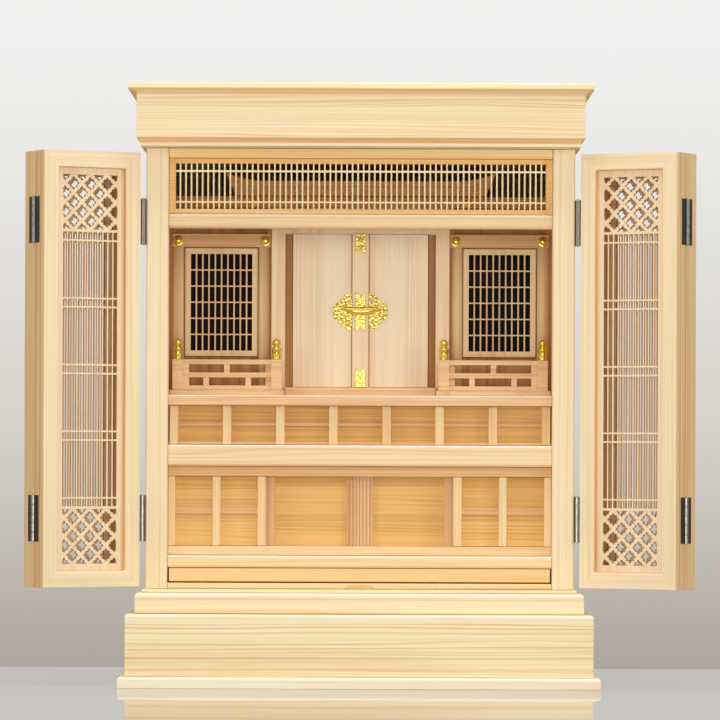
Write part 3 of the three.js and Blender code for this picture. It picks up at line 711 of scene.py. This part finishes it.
def brushed_nickel(name, dark, bright, roughness):
    """Satin nickel plate: a grey metal whose fine vertical brushing widens the highlight."""
    metal = bare(name)
    solid = node(metal, "TexCoord")
    place = node(metal, "Mapping", {0: solid.outputs["Object"], "Scale": (2500, 2500, 120)})
    brushing = node(metal, "TexNoise", {"Vector": place.outputs[0], "Scale": 1.0, "Detail": 2.0})
    rough = node(metal, "MapRange", {
        "Value": brushing.outputs[0], "To Min": roughness - 0.06, "To Max": roughness + 0.08,
    })
    tint = node(metal, "ValToRGB", {0: brushing.outputs[0]})
    colour_stops(tint, [(0.3, dark), (0.7, bright)])
    shader = node(metal, "BsdfPrincipled", {
        "Base Color": tint.outputs[0], "Metallic": 1.0, "Roughness": rough.outputs[0],
    })
    node(metal, "OutputMaterial", {0: shader.outputs[0]})
    return metal


def drum(bm, radius, low, high, centre=(0, 0), segments=24, top_radius=None):
    """Adds an upright cylinder or cone between two heights."""
    made = bmesh.ops.create_cone(
        bm, cap_ends=True, segments=segments, radius1=radius,
        radius2=radius if top_radius is None else top_radius, depth=high - low,
    )["verts"]
    bmesh.ops.translate(bm, vec=(*centre, (low + high) / 2), verts=made)
    return made


def hinge_half(name, place, knuckles, plate_side, body):
    """Half of a butt hinge in millimetres about its own pin: its knuckles and its plate, which
    lies beside the pin and reaches out along the depth on one side of it."""
    bm = bmesh.new()
    end, step = HINGE["length"] / 2, HINGE["length"] / 5
    for i in knuckles:
        low = -end + i * step
        drum(bm, HINGE["radius"], low + HINGE["clearance"], low + step - HINGE["clearance"])
    if 0 in knuckles:
        drum(bm, HINGE["pin"], -end - HINGE["pin_end"], end + HINGE["pin_end"], segments=12)
    for face in bm.faces:
        face.smooth = abs(face.normal.z) < 0.5
        face.material_index = 1
    x0, x1, y0, y1 = plate_side
    plank(bm, (x0, y0, -end), (x1, y1, end))
    outside = x0 if abs(x0) < abs(x1) else x1
    turned_to = math.pi / 2 if outside > min(x0, x1) else -math.pi / 2
    stagger = HINGE["stagger"] if y1 > y0 else -HINGE["stagger"]
    for height in HINGE["screws"]:
        screw = drum(bm, HINGE["screw"], -0.4, 0.05, segments=16)
        bmesh.ops.rotate(bm, verts=screw, matrix=Matrix.Rotation(turned_to, 3, "Y"))
        y = (y0 + y1) / 2 + (stagger if height else -stagger)
        bmesh.ops.translate(bm, verts=screw, vec=(outside, y, height))
    bmesh.ops.transform(bm, matrix=place, verts=bm.verts)
    return fit(name, bm, [plate_nickel_shaded, knuckle_nickel], body, 0.15 * MM, unit=1)


# painted shade: the plates are coloured near black, far darker than the knuckles of the same
# nickel, for the shade where they lie
plate_nickel_shaded = brushed_nickel("nickel plate", "#25221d", "#4a463e", 0.34)
knuckle_nickel = brushed_nickel("polished nickel knuckles", "#a09d94", "#cbc8bf", 0.2)
for side, turn in (("left", -1), ("right", 1)):
    leaf = leaf_place(side, False)
    for level, end in (("lower", -1), ("upper", 1)):
        height = end * HINGE["spread"] / 2
        hinge = f"{side}_{level}"
        # on the cabinet's corner, with one plate on its side and the other on the leaf's edge
        axis = door_hinge(side) + Vector((0, 0, height * MM))
        fixed = hinge_half(
            f"{hinge}_hinge_fixed", Matrix.Translation(axis) @ Matrix.Scale(MM, 4), (0, 2, 4),
            (-turn * 2.4, -turn * 1.5, 0.2, 12), "cabinet",
        )
        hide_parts(f"{hinge}_hinge")
        hinge_half(
            f"{hinge}_hinge_moving", leaf @ Matrix.Translation((0, 0, height)), (1, 3),
            (1.5, 2.6, 0.5, 12), f"{side}_inner_leaf",
        )
        # between the two leaves, with a plate on each far edge
        fold = (LEAF["start"] + LEAF["width"] + 0.5, FOLD_DEPTH, height)
        pin = leaf @ Matrix.Translation(fold)
        inner = hinge_half(
            f"{hinge}_fold_fixed", pin, (0, 2, 4), (-0.1, -1.2, -1, -12), f"{side}_inner_leaf"
        )
        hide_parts(f"{hinge}_fold_hinge")
        hinge_half(
            f"{hinge}_fold_moving", pin, (1, 3), (-0.1, -1.2, 1, 12), f"{side}_outer_leaf"
        )

# ------------------------------------------------------------------ centre shrine
# A box of pinkish cypress between square pillars, with two plain doors of quarter-sawn boards. An
# overlap strip on the right door covers the joint.

shrine_wood = cypress(
    "shrine cypress", "Z", (30, -700), "#f5dcb8", "#deb387", ring=4, wander=5
)
ease("centre_shrine", shrine_wood)
for side, heart in (("left", -260), ("right", 320)):
    quartered = cypress(
        f"{side} shrine door cypress", "Z", (heart, -90), "#f7e6ca", "#e3be94",
        ring=3.2, wander=3, contrast=0.4,
    )
    ease(f"{side}_shrine_door", quartered)
strip = cypress("strip cypress", "Z", (200, -80), "#fae3c5", "#ebc8a0", ring=3, wander=2)
ease("shrine_door_strip", strip)

# jamb facings beside the doors, coloured dark as painted shade, and dark lines on both sides of
# the strip as its painted shadow
JAMB = {"inner": 69, "outer": 76, "back": 65, "foot": 300, "head": 454.8}
STRIP_SHADOW = {"inner": 7.6, "outer": 9.4, "foot": 300.4, "head": 454.4}
# painted shade: a dark brown wood for the jambs and for the lines beside the strip
darker = cypress("shade_painted_cypress", "Z", (-40, -500), "#c4904f", "#9c6a34", ring=4, wander=4)
jamb_back = FRONT / MM + JAMB["back"]
bm = bmesh.new()
for sign in (-1, 1):
    jamb_high = (sign * JAMB["outer"], jamb_back, JAMB["head"])
    plank(bm, (sign * JAMB["inner"], jamb_back - 0.4, JAMB["foot"]), jamb_high)
fit("shrine_jamb_facings", bm, [darker], "cabinet", 0.15 * MM)
door_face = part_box("right_shrine_door")[0].y / MM
for side, sign in (("right", 1), ("left", -1)):
    bm = bmesh.new()
    strip_shadow_high = (sign * STRIP_SHADOW["outer"], door_face + 0.1, STRIP_SHADOW["head"])
    plank(bm, (sign * STRIP_SHADOW["inner"], door_face - 0.25, STRIP_SHADOW["foot"]), strip_shadow_high)
    fit(f"strip_edge_shadow_{side}", bm, [darker], f"{side}_shrine_door")

# the sill's front board and the two base slabs beside it are faced with boards laid flat
SILL = {"half_width": 76, "height": 8, "slab_inner": 90.5, "slab_outer": 192, "slab_height": 4.9}
flat = cypress("shrine sill cypress", "X", (-60, 200), "#f4d4a6", "#dcab74", ring=3.4, wander=5)
low, high = corners("centre_shrine")
bm = bmesh.new()
sill_high = (SILL["half_width"], low.y, low.z + SILL["height"])
plank(bm, (-SILL["half_width"], low.y - 0.3, low.z), sill_high)
low, high = corners("left_side_shrine")
for sign in (-1, 1):
    slab_high = (sign * SILL["slab_outer"], low.y, low.z + SILL["slab_height"])
    plank(bm, (sign * SILL["slab_inner"], low.y - 0.3, low.z), slab_high)
fit("sill_facings", bm, [flat], "cabinet", 0.15 * MM)

# ------------------------------------------------------------------ shrine fittings
# Gilt brass: a pierced flower plate with a latch bar across the joint, and two swallow-tailed
# plates with low studs at the ends of the strip. All are stamped from thin sheet and pinned on.


def gilt(name, bright, dark, roughness, relief):
    """Gilt brass, stamped and polished: a deep yellow metal, bright on its raised parts and
    darker in its chased lines, which are drawn about a millimetre apart."""
    metal = bare(name)
    solid = node(metal, "TexCoord")
    place = node(metal, "Mapping", {0: solid.outputs["Object"], "Scale": (1000,) * 3})
    chasing = node(
        metal, "TexVoronoi", {"Vector": place.outputs[0], "Scale": 0.55}, feature="SMOOTH_F1"
    )
    tone = node(metal, "ValToRGB", {0: chasing.outputs["Distance"]})
    colour_stops(tone, [(0.3, bright), (0.9, dark)])
    bump = node(metal, "Bump", {
        "Height": chasing.outputs["Distance"], "Strength": relief, "Distance": 0.0004,
    })
    shader = node(metal, "BsdfPrincipled", {
        "Base Color": tone.outputs[0], "Metallic": 1.0, "Roughness": roughness,
        "Normal": bump.outputs[0],
    })
    node(metal, "OutputMaterial", {0: shader.outputs[0]})
    return metal


def sheet_metal(bm, thickness):
    """Gives flat faces in the X-Z plane a thickness towards -Y."""
    swept = bmesh.ops.extrude_face_region(bm, geom=bm.faces[:], use_keep_orig=True)["geom"]
    bmesh.ops.translate(bm, vec=(0, -thickness, 0), verts=fresh(swept))


def stamped(bm, outline, height=0):
    """Adds a flat plate on the strip's face, cut to an outline of (x, z) points."""
    bm.faces.new([bm.verts.new((x, strip_face, height + z)) for x, z in outline])


def rounded(piece, flat_ends=False):
    """Makes a turned or domed piece smooth all round, but for its ends if they are flat."""
    for polygon in piece.data.polygons:
        polygon.use_smooth = not flat_ends or abs(polygon.normal.z) < 0.5


FACING = Matrix.Rotation(math.pi / 2, 3, "X")     # turns an upright piece to face the front
chased = gilt("chased gilt brass", "#e4c75e", "#775a1a", 0.22, 0.8)
engraved = gilt("engraved gilt brass", "#ecd271", "#b08f38", 0.24, 0.5)
polished_gilt = gilt("polished gilt brass", "#f6dd68", "#efd055", 0.12, 0.04)
strip_low, strip_high = corners("shrine_door_strip")
strip_face = strip_low.y

TAIL = {"half_width": 4.8, "length": 19.5, "notch": 4.5, "studs": (5.2, 12.2)}
tail_ends = ((1, strip_high.z - 0.4), (-1, strip_low.z + 0.4))
bm = bmesh.new()
for end, height in tail_ends:
    w, inward = TAIL["half_width"], height - end * TAIL["length"]
    notch = inward + end * TAIL["notch"]
    stamped(bm, [(-w, height), (w, height), (w, inward), (0, notch), (-w, inward)])
sheet_metal(bm, 0.8)
for end, height in tail_ends:
    for inset in TAIL["studs"]:
        stud = drum(bm, 2.3, -0.3, 0.3, segments=20, top_radius=1.3)
        for face in {f for v in stud for f in v.link_faces}:
            face.material_index = 1
        bmesh.ops.rotate(bm, verts=stud, matrix=FACING)
        bmesh.ops.translate(bm, verts=stud, vec=(0, strip_face - 1.1, height - end * inset))
plate_golds = [engraved, polished_gilt]
fit("strip_end_plates", bm, plate_golds, "right_shrine_door", 0.15 * MM)

WING = {"start": 8.7, "radius": 15.2, "scallop": 3.9, "ring": 2.75, "ray": 6}
LOCK_HEIGHT = 376.4


def pierced_wing(bm, side, face):
    """One half of the flower plate: a half disc with three scallops, pierced in three rings."""
    rings, rays = 7, 30
    made = bmesh.ops.create_grid(bm, x_segments=rings, y_segments=rays, size=1)["verts"]
    for vert in made:
        reach, angle = (vert.co.x + 1) / 2, vert.co.y * math.pi / 2
        edge = WING["radius"] + WING["scallop"] * abs(math.cos(2 * angle)) ** 0.6
        radius = edge * (0.12 + 0.88 * reach)
        across, up = radius * math.cos(angle), radius * math.sin(angle)
        vert.co = (side * (WING["start"] + across), face, LOCK_HEIGHT + up)
    pierced = []
    for f in {f for v in made for f in v.link_faces}:
        centre = f.calc_center_median()
        across, up = abs(centre.x) - WING["start"], centre.z - LOCK_HEIGHT
        ring = int(math.hypot(across, up) / WING["ring"])
        ray = int((math.degrees(math.atan2(up, across)) + 90) / WING["ray"])
        inner_hole = ring == 1 and ray % 6 == 4
        middle_hole = ring == 3 and ray % 5 in (1, 2, 3)
        outer_hole = ring == 5 and ray % 3 == 0
        if inner_hole or middle_hole or outer_hole:
            pierced.append(f)
    bmesh.ops.delete(bm, geom=pierced, context="FACES")


for side, sign in (("left", -1), ("right", 1)):
    bm = bmesh.new()
    pierced_wing(bm, sign, door_face)
    sheet_metal(bm, 0.9)
    fit(f"{side}_lock_wing", bm, [chased], f"{side}_shrine_door", 0.15 * MM)

CENTRE_PLATE = {"half_width": 4.9, "reach": 19.8, "notch": 4.5, "waist": 3.6, "waist_reach": 6}
w, reach, waist, start = (CENTRE_PLATE[k] for k in ("half_width", "reach", "waist", "waist_reach"))
inner = reach - CENTRE_PLATE["notch"]
bm = bmesh.new()
stamped(bm, [
    (-w, reach), (0, inner), (w, reach), (w, start), (waist, 0), (w, -start),
    (w, -reach), (0, -inner), (-w, -reach), (-w, -start), (-waist, 0), (-w, start),
], LOCK_HEIGHT)
sheet_metal(bm, 0.9)
fit("lock_centre_plate", bm, [engraved], "right_shrine_door", 0.15 * MM)

# the latch: a domed bar, its ends curved up, with a round boss in its middle
LATCH = {"half_length": 18.8, "half_depth": 3.6, "half_height": 4.3, "curve": 2.4}
bm = bmesh.new()
bmesh.ops.create_uvsphere(bm, u_segments=40, v_segments=20, radius=1)
bar = (LATCH["half_length"], LATCH["half_depth"], LATCH["half_height"])
bmesh.ops.scale(bm, vec=bar, verts=bm.verts)
for vert in bm.verts:
    vert.co.z += LATCH["curve"] * (vert.co.x / LATCH["half_length"]) ** 2 - 0.6
boss = drum(bm, 2.9, -0.5, 4.4, segments=24, top_radius=2.2)
bmesh.ops.rotate(bm, verts=boss, matrix=FACING)
bmesh.ops.translate(bm, verts=bm.verts, vec=(0.4, strip_face - 1.6, LOCK_HEIGHT + 1.2))
burnished = gilt("burnished gilt brass", "#ffe97c", "#f5cf4c", 0.14, 0.05)
rounded(fit("latch_bar", bm, [burnished], "right_shrine_door", 0.4 * MM))

# ------------------------------------------------------------------ beam and roof
# A beam across the cabinet carries a shingled roof whose eaves turn up at the ends. The roof's
# edge is built up of three boards that step back towards the bottom.

beam = cypress("beam cypress", "X", (-200, 700), "#d7a268", "#b0733a", ring=3.5)
ease("shrine_beam", beam)

ROOF = {"tip": 136, "foot": 125.5, "flat": 98, "eave": 507.6, "rise": 8.1}
EAVES = ((0.0, 0.36, 5), (0.36, 0.62, 2.5), (0.62, 1.0, 0))     # from, to and how far set back
roof_foot = corners("shrine_beam")[1].z + 0.5
roof_low, roof_high = corners("shrine_roof")
bm = bmesh.new()
for low, high, set_back in EAVES:
    made = bmesh.ops.create_grid(bm, x_segments=64, y_segments=2, size=1)["verts"]
    for vert in made:
        share = low + (high - low) * (vert.co.y + 1) / 2
        x = vert.co.x * (ROOF["foot"] + (ROOF["tip"] - ROOF["foot"]) * share)
        lift = max(0, (abs(x) - ROOF["flat"]) / (ROOF["tip"] - ROOF["flat"]))
        top = ROOF["eave"] + ROOF["rise"] * lift**2
        vert.co = (x, roof_low.y + set_back, roof_foot + (top - roof_foot) * share)
    faces = list({f for v in made for f in v.link_faces})
    swept = bmesh.ops.extrude_face_region(bm, geom=faces, use_keep_orig=True)["geom"]
    to_back = (0, roof_high.y - roof_low.y - set_back, 0)
    bmesh.ops.translate(bm, verts=fresh(swept), vec=to_back)
shingle = cypress("roof cypress", "X", (-100, 380), "#dcab74", "#b57e4b", ring=3)
roof = fit("shingled_roof", bm, [shingle], "cabinet", 0.3 * MM)
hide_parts("shrine_roof")

# ------------------------------------------------------------------ side shrines
# Each is a box behind two turned pillars and a beam, with a lattice door in front of its dark
# inside. The lattice is nine slats and five thinner rods in a frame.

LATTICE_DOOR = {"frame": 5.6, "slats": 9, "slat": 1.4, "rods": 5, "rod": 1.3}
SIDE_SHRINE = {
    "front": 62, "foot": 296.6, "pillars": (97.8, 185), "pillar": 5.85,
    "beam_low": 442.1, "beam_high": 455, "inner_end": 91, "outer_end": 190.6,
}
# the fillets' ends across, in depth behind the shrine's front, and in height
FILLETS = (
    ((187, 197), (5, 7), (292, 481)),
    ((90, 95), (5, 7), (292, 481)),
    ((90, 197), (12, 14), (455.3, 481.4)),
    ((96, 183), (9.2, 9.8), (296.6, 331)),
)
side_wood = cypress(
    "side shrine cypress", "Z", (20, -900), "#f1d3a5", "#d7a871", ring=4, wander=5
)
lattice_wood = cypress(
    "side lattice cypress", "Z", (0, -600), "#f5d6aa", "#e3b480", ring=4, wander=3
)
beam_wood = cypress(
    "side beam cypress", "X", (-100, 300), "#e4b782", "#c18b52", ring=3.4, wander=4
)
# painted shade: a deep brown for the fillets, for the shade in the gaps that they close
shade_wood = cypress(
    "fillet heartwood", "Z", (-40, -500), "#c98f58", "#a16a37", ring=4, wander=4
)
# painted shade: a nearly black sheet behind each lattice door stands for the dark inside of the
# box, so that nothing shows between the slats
shade_backing = bare("dark paper lining")
shade_backing_shader = node(shade_backing, "BsdfPrincipled", {
    "Base Color": pigment("#150d08"), "Roughness": 0.85,
})
node(shade_backing, "OutputMaterial", {0: shade_backing_shader.outputs[0]})

shrine_front = FRONT / MM + SIDE_SHRINE["front"]
for side, sign in (("left", -1), ("right", 1)):
    ease(f"{side}_side_shrine", side_wood, 0.3 * MM)

    low, high = corners(f"{side}_shrine_lattice")
    border, slat, rod = (LATTICE_DOOR[part] for part in ("frame", "slat", "rod"))
    left, right = low.x + border, high.x - border
    bm = bmesh.new()
    for x, z, end in ((low.x, low.z, -1), (high.x, high.z, 1)):
        plank(bm, (x, low.y, low.z), (x - end * border, high.y, high.z))
        plank(bm, (left, low.y, z), (right, high.y, z - end * border))
    pitch = (right - left + slat) / (LATTICE_DOOR["slats"] + 1)
    for i in range(1, LATTICE_DOOR["slats"] + 1):
        x = left + i * pitch - slat
        plank(bm, (x, low.y + 1.2, low.z + border), (x + slat, high.y - 0.5, high.z - border))
    inner_height = high.z - low.z - 2 * border
    for i in range(1, LATTICE_DOOR["rods"] + 1):
        z = low.z + border + i * inner_height / (LATTICE_DOOR["rods"] + 1)
        plank(bm, (left, low.y + 1.0, z - rod / 2), (right, low.y + 3, z + rod / 2))
    lattice = fit(
        f"{side}_lattice_door", bm, [lattice_wood], "cabinet", 0.2 * MM
    )
    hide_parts(f"{side}_shrine_lattice")

    bm = bmesh.new()
    plank(bm, (low.x + 2, high.y + 9, low.z + 4), (high.x - 2, high.y + 10, high.z - 4))
    fit(f"{side}_shrine_shade_backing", bm, [shade_backing], "cabinet")

    # boards that close the gaps beside and above it, coloured deep brown as painted shade, and the
    # beam's own facing
    bm = bmesh.new()
    for (x0, x1), (y0, y1), (z0, z1) in FILLETS:
        plank(bm, (sign * x0, shrine_front + y0, z0), (sign * x1, shrine_front + y1, z1))
    fit(f"{side}_shrine_fillets", bm, [shade_wood], "cabinet", 0.3 * MM)
    bm = bmesh.new()
    beam_low = (sign * SIDE_SHRINE["inner_end"], shrine_front - 0.3, SIDE_SHRINE["beam_low"])
    beam_high = (sign * SIDE_SHRINE["outer_end"], shrine_front, SIDE_SHRINE["beam_high"])
    plank(bm, beam_low, beam_high)
    fit(f"{side}_beam_facing", bm, [beam_wood], "cabinet", 0.1 * MM)

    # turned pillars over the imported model's coarse ones
    pillar_top = corners(f"{side}_side_shrine")[1].z - 0.2
    bm = bmesh.new()
    for x in SIDE_SHRINE["pillars"]:
        centre = (sign * x, shrine_front + 5.75)
        drum(bm, SIDE_SHRINE["pillar"], SIDE_SHRINE["foot"], pillar_top, centre, segments=40)
    pillars = fit(f"{side}_shrine_pillars", bm, [side_wood], "cabinet")
    rounded(pillars, flat_ends=True)

# ------------------------------------------------------------------ nail covers
# Round gilt bosses hide the nails in the side shrines' beams and in the long beam. Each is a domed
# cap with a raised rim, turned from a profile.


def turned(bm, profile, place, steps=32):
    """A turned shape: a profile of [radius, height] points spun round the height axis."""
    verts = [bm.verts.new((radius, 0, height)) for radius, height in profile]
    edges = [bm.edges.new(pair) for pair in zip(verts, verts[1:])]
    before = set(bm.verts)
    bmesh.ops.spin(
        bm, geom=verts + edges, cent=(0, 0, 0), axis=(0, 0, 1), angle=2 * math.pi, steps=steps,
        use_merge=True,
    )
    made = verts + [v for v in bm.verts if v not in before]
    bmesh.ops.remove_doubles(bm, verts=made, dist=0.001)
    made = [v for v in made if v.is_valid]
    bmesh.ops.transform(bm, matrix=place, verts=made)


CAP = [
    (0, 0), (5.3, 0), (5.3, 0.6), (4.7, 1.1), (4.2, 0.8), (3.9, 1.6), (2.8, 2.7), (1.3, 3.2),
    (0, 3.3),
]
beam_face = corners("shrine_beam")[0].y
bm = bmesh.new()
for sign in (-1, 1):
    for x, y, z in (
        (96.6, shrine_front, 448.3), (184.9, shrine_front, 448.3), (108.8, beam_face, 486.9),
    ):
        turned(bm, CAP, Matrix.Translation((sign * x, y, z)) @ FACING.to_4x4())
rounded(fit("nail_covers", bm, [polished_gilt], "cabinet"))

# ------------------------------------------------------------------ railings
# Low railings of square bars, with gilt finials in the shape of a bud on a sleeve on every post.

FINIAL = [
    (0, 0), (5.0, 0), (5.0, 0.9), (4.7, 1.1), (4.7, 9.3), (5.0, 9.6), (5.0, 10.6), (4.2, 11.7),
    (3.0, 12.6), (2.6, 13.3), (3.1, 14.1), (4.2, 15.0), (4.6, 16.3), (4.2, 17.8), (3.0, 19.2),
    (1.2, 20.3), (0, 20.9),
]
# the closing boards at a railing's outer and inner end: their ends across and in depth
RAILING_ENDS = (((172.5, 178.6), (2.2, 7.7)), ((84.5, 95.6), (7, 9.4)))
railing_wood = cypress("railing cypress", "X", (-300, 200), "#f1cf9f", "#d9a871", ring=4)
for side, sign in (("left", -1), ("right", 1)):
    ease(f"{side}_railing", railing_wood, 0.3 * MM)
    low, high = corners(f"{side}_railing")
    bm = bmesh.new()
    for (x0, x1), (y0, y1) in RAILING_ENDS:
        plank(bm, (sign * x0, low.y + y0, low.z), (sign * x1, low.y + y1, high.z))
    fit(f"{side}_railing_ends", bm, [railing_wood], "cabinet", 0.3 * MM)
    for place in ("inner", "outer"):
        low, high = corners(f"{side}_{place}_finial")
        bm = bmesh.new()
        on_post = ((low.x + high.x) / 2, (low.y + high.y) / 2, low.z)
        turned(bm, FINIAL, Matrix.Translation(on_post))
        finial = fit(f"{side}_{place}_bud", bm, [polished_gilt], "cabinet")
        rounded(finial)
        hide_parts(f"{side}_{place}_finial")

# ------------------------------------------------------------------ step
# A row of short posts stands before a golden panel to make the step up to the shrines. A thin rail
# runs behind the posts at half height, and a strip along their feet.

STEP = {"posts": 8, "pitch": 53.3, "post": 8.7, "rail": (260.4, 264), "strip": 3}
upright = cypress("step post cypress", "Z", (0, -700), "#f6d9a8", "#e2b67a", ring=4, wander=4)
level = cypress("step rail cypress", "X", (-100, 500), "#ecc08a", "#cf965a", ring=3.5, wander=5)
low, high = corners("tier_frame")
bm = bmesh.new()
for i in range(STEP["posts"]):
    x, half = (i - (STEP["posts"] - 1) / 2) * STEP["pitch"], STEP["post"] / 2
    plank(bm, (x - half, low.y, low.z), (x + half, high.y, high.z))
posts = fit("step_posts", bm, [upright], "cabinet", 0.5 * MM)
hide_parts("tier_frame")
bm = bmesh.new()
plank(bm, (low.x, high.y - 2.7, STEP["rail"][0]), (high.x, high.y, STEP["rail"][1]))
plank(bm, (low.x, low.y + 2, low.z), (high.x, high.y, low.z + STEP["strip"]))
fit("step_rails", bm, [level], "cabinet", 0.3 * MM)
behind = cypress(
    "step panel cypress", "X", (-120, 130), "#e8bb6e", "#c58c3a", ring=6, wander=24, contrast=0.5
)
ease("tier_panel", behind)

# ------------------------------------------------------------------ cupboard
# Fixed framed panels on both sides and two sliding doors between them, in grooves in the sill and
# head. The panels are one flat-sawn plank with a golden figure, and the stiles are paler.

CUPBOARD = {"posts": ((185, 192), (139.5, 147.5), (93.7, 102.5)), "rail": (94, 191, 171.7, 179.7)}
SLIDING = {
    "panel": (12, 86), "outer_stile": (85, 98), "inner_stile": (0.15, 13.3),
    "reeds": ((0.15, 2.6), (3.8, 6.2), (7.4, 9.8), (11, 13.3)),
}
sill = cypress("sill cypress", "X", (-120, 180), "#fce2b2", "#e6b97c", ring=4)
ease("cupboard_sill", sill)
head = cypress("head cypress", "X", (-120, 260), "#f0c890", "#d69e60", ring=4)
ease("cupboard_head", head)
golden = cypress(
    "golden cypress", "X", (-60, 430), "#f5cb7d", "#d69c46", ring=6.5, wander=26, contrast=0.55
)
bright = cypress("cupboard post cypress", "Z", (0, -500), "#fbdfae", "#e6ba7e", ring=4, wander=4)
pinkish = cypress(
    "sliding stile cypress", "Z", (60, -900), "#f0cb98", "#d69e66", ring=2.6, wander=3
)
for side, sign in (("left", -1), ("right", 1)):
    low, high = corners(f"{side}_cupboard_frame")
    bm = bmesh.new()
    for x0, x1 in CUPBOARD["posts"]:
        plank(bm, (sign * x0, low.y, low.z), (sign * x1, high.y, high.z))
    posts = fit(f"{side}_cupboard_posts", bm, [bright], "cabinet", 0.8 * MM)
    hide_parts(f"{side}_cupboard_frame")
    bm = bmesh.new()
    x0, x1, z0, z1 = CUPBOARD["rail"]
    plank(bm, (sign * x0, low.y + 4, z0), (sign * x1, high.y, z1))
    fit(f"{side}_cupboard_rails", bm, [level], "cabinet", 0.4 * MM)
    ease(f"{side}_cupboard_panel", golden)

    # a sliding door: its panel, and its stiles, the inner one reeded for the fingers
    body = f"{side}_cupboard_door"
    low, high = corners(body)
    bm = bmesh.new()
    x0, x1 = SLIDING["panel"]
    plank(bm, (sign * x0, low.y + 4, low.z), (sign * x1, low.y + 7, high.z))
    panel = fit(f"{side}_sliding_panel", bm, [golden], body)
    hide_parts(body)
    bm = bmesh.new()
    x0, x1 = SLIDING["outer_stile"]
    plank(bm, (sign * x0, low.y, low.z), (sign * x1, high.y, high.z))
    x0, x1 = SLIDING["inner_stile"]
    plank(bm, (sign * x0, low.y + 1.2, low.z), (sign * x1, high.y, high.z))
    for x0, x1 in SLIDING["reeds"]:
        plank(bm, (sign * x0, low.y, low.z), (sign * x1, low.y + 1.3, high.z))
    fit(f"{side}_sliding_stiles", bm, [pinkish], body, 0.4 * MM)
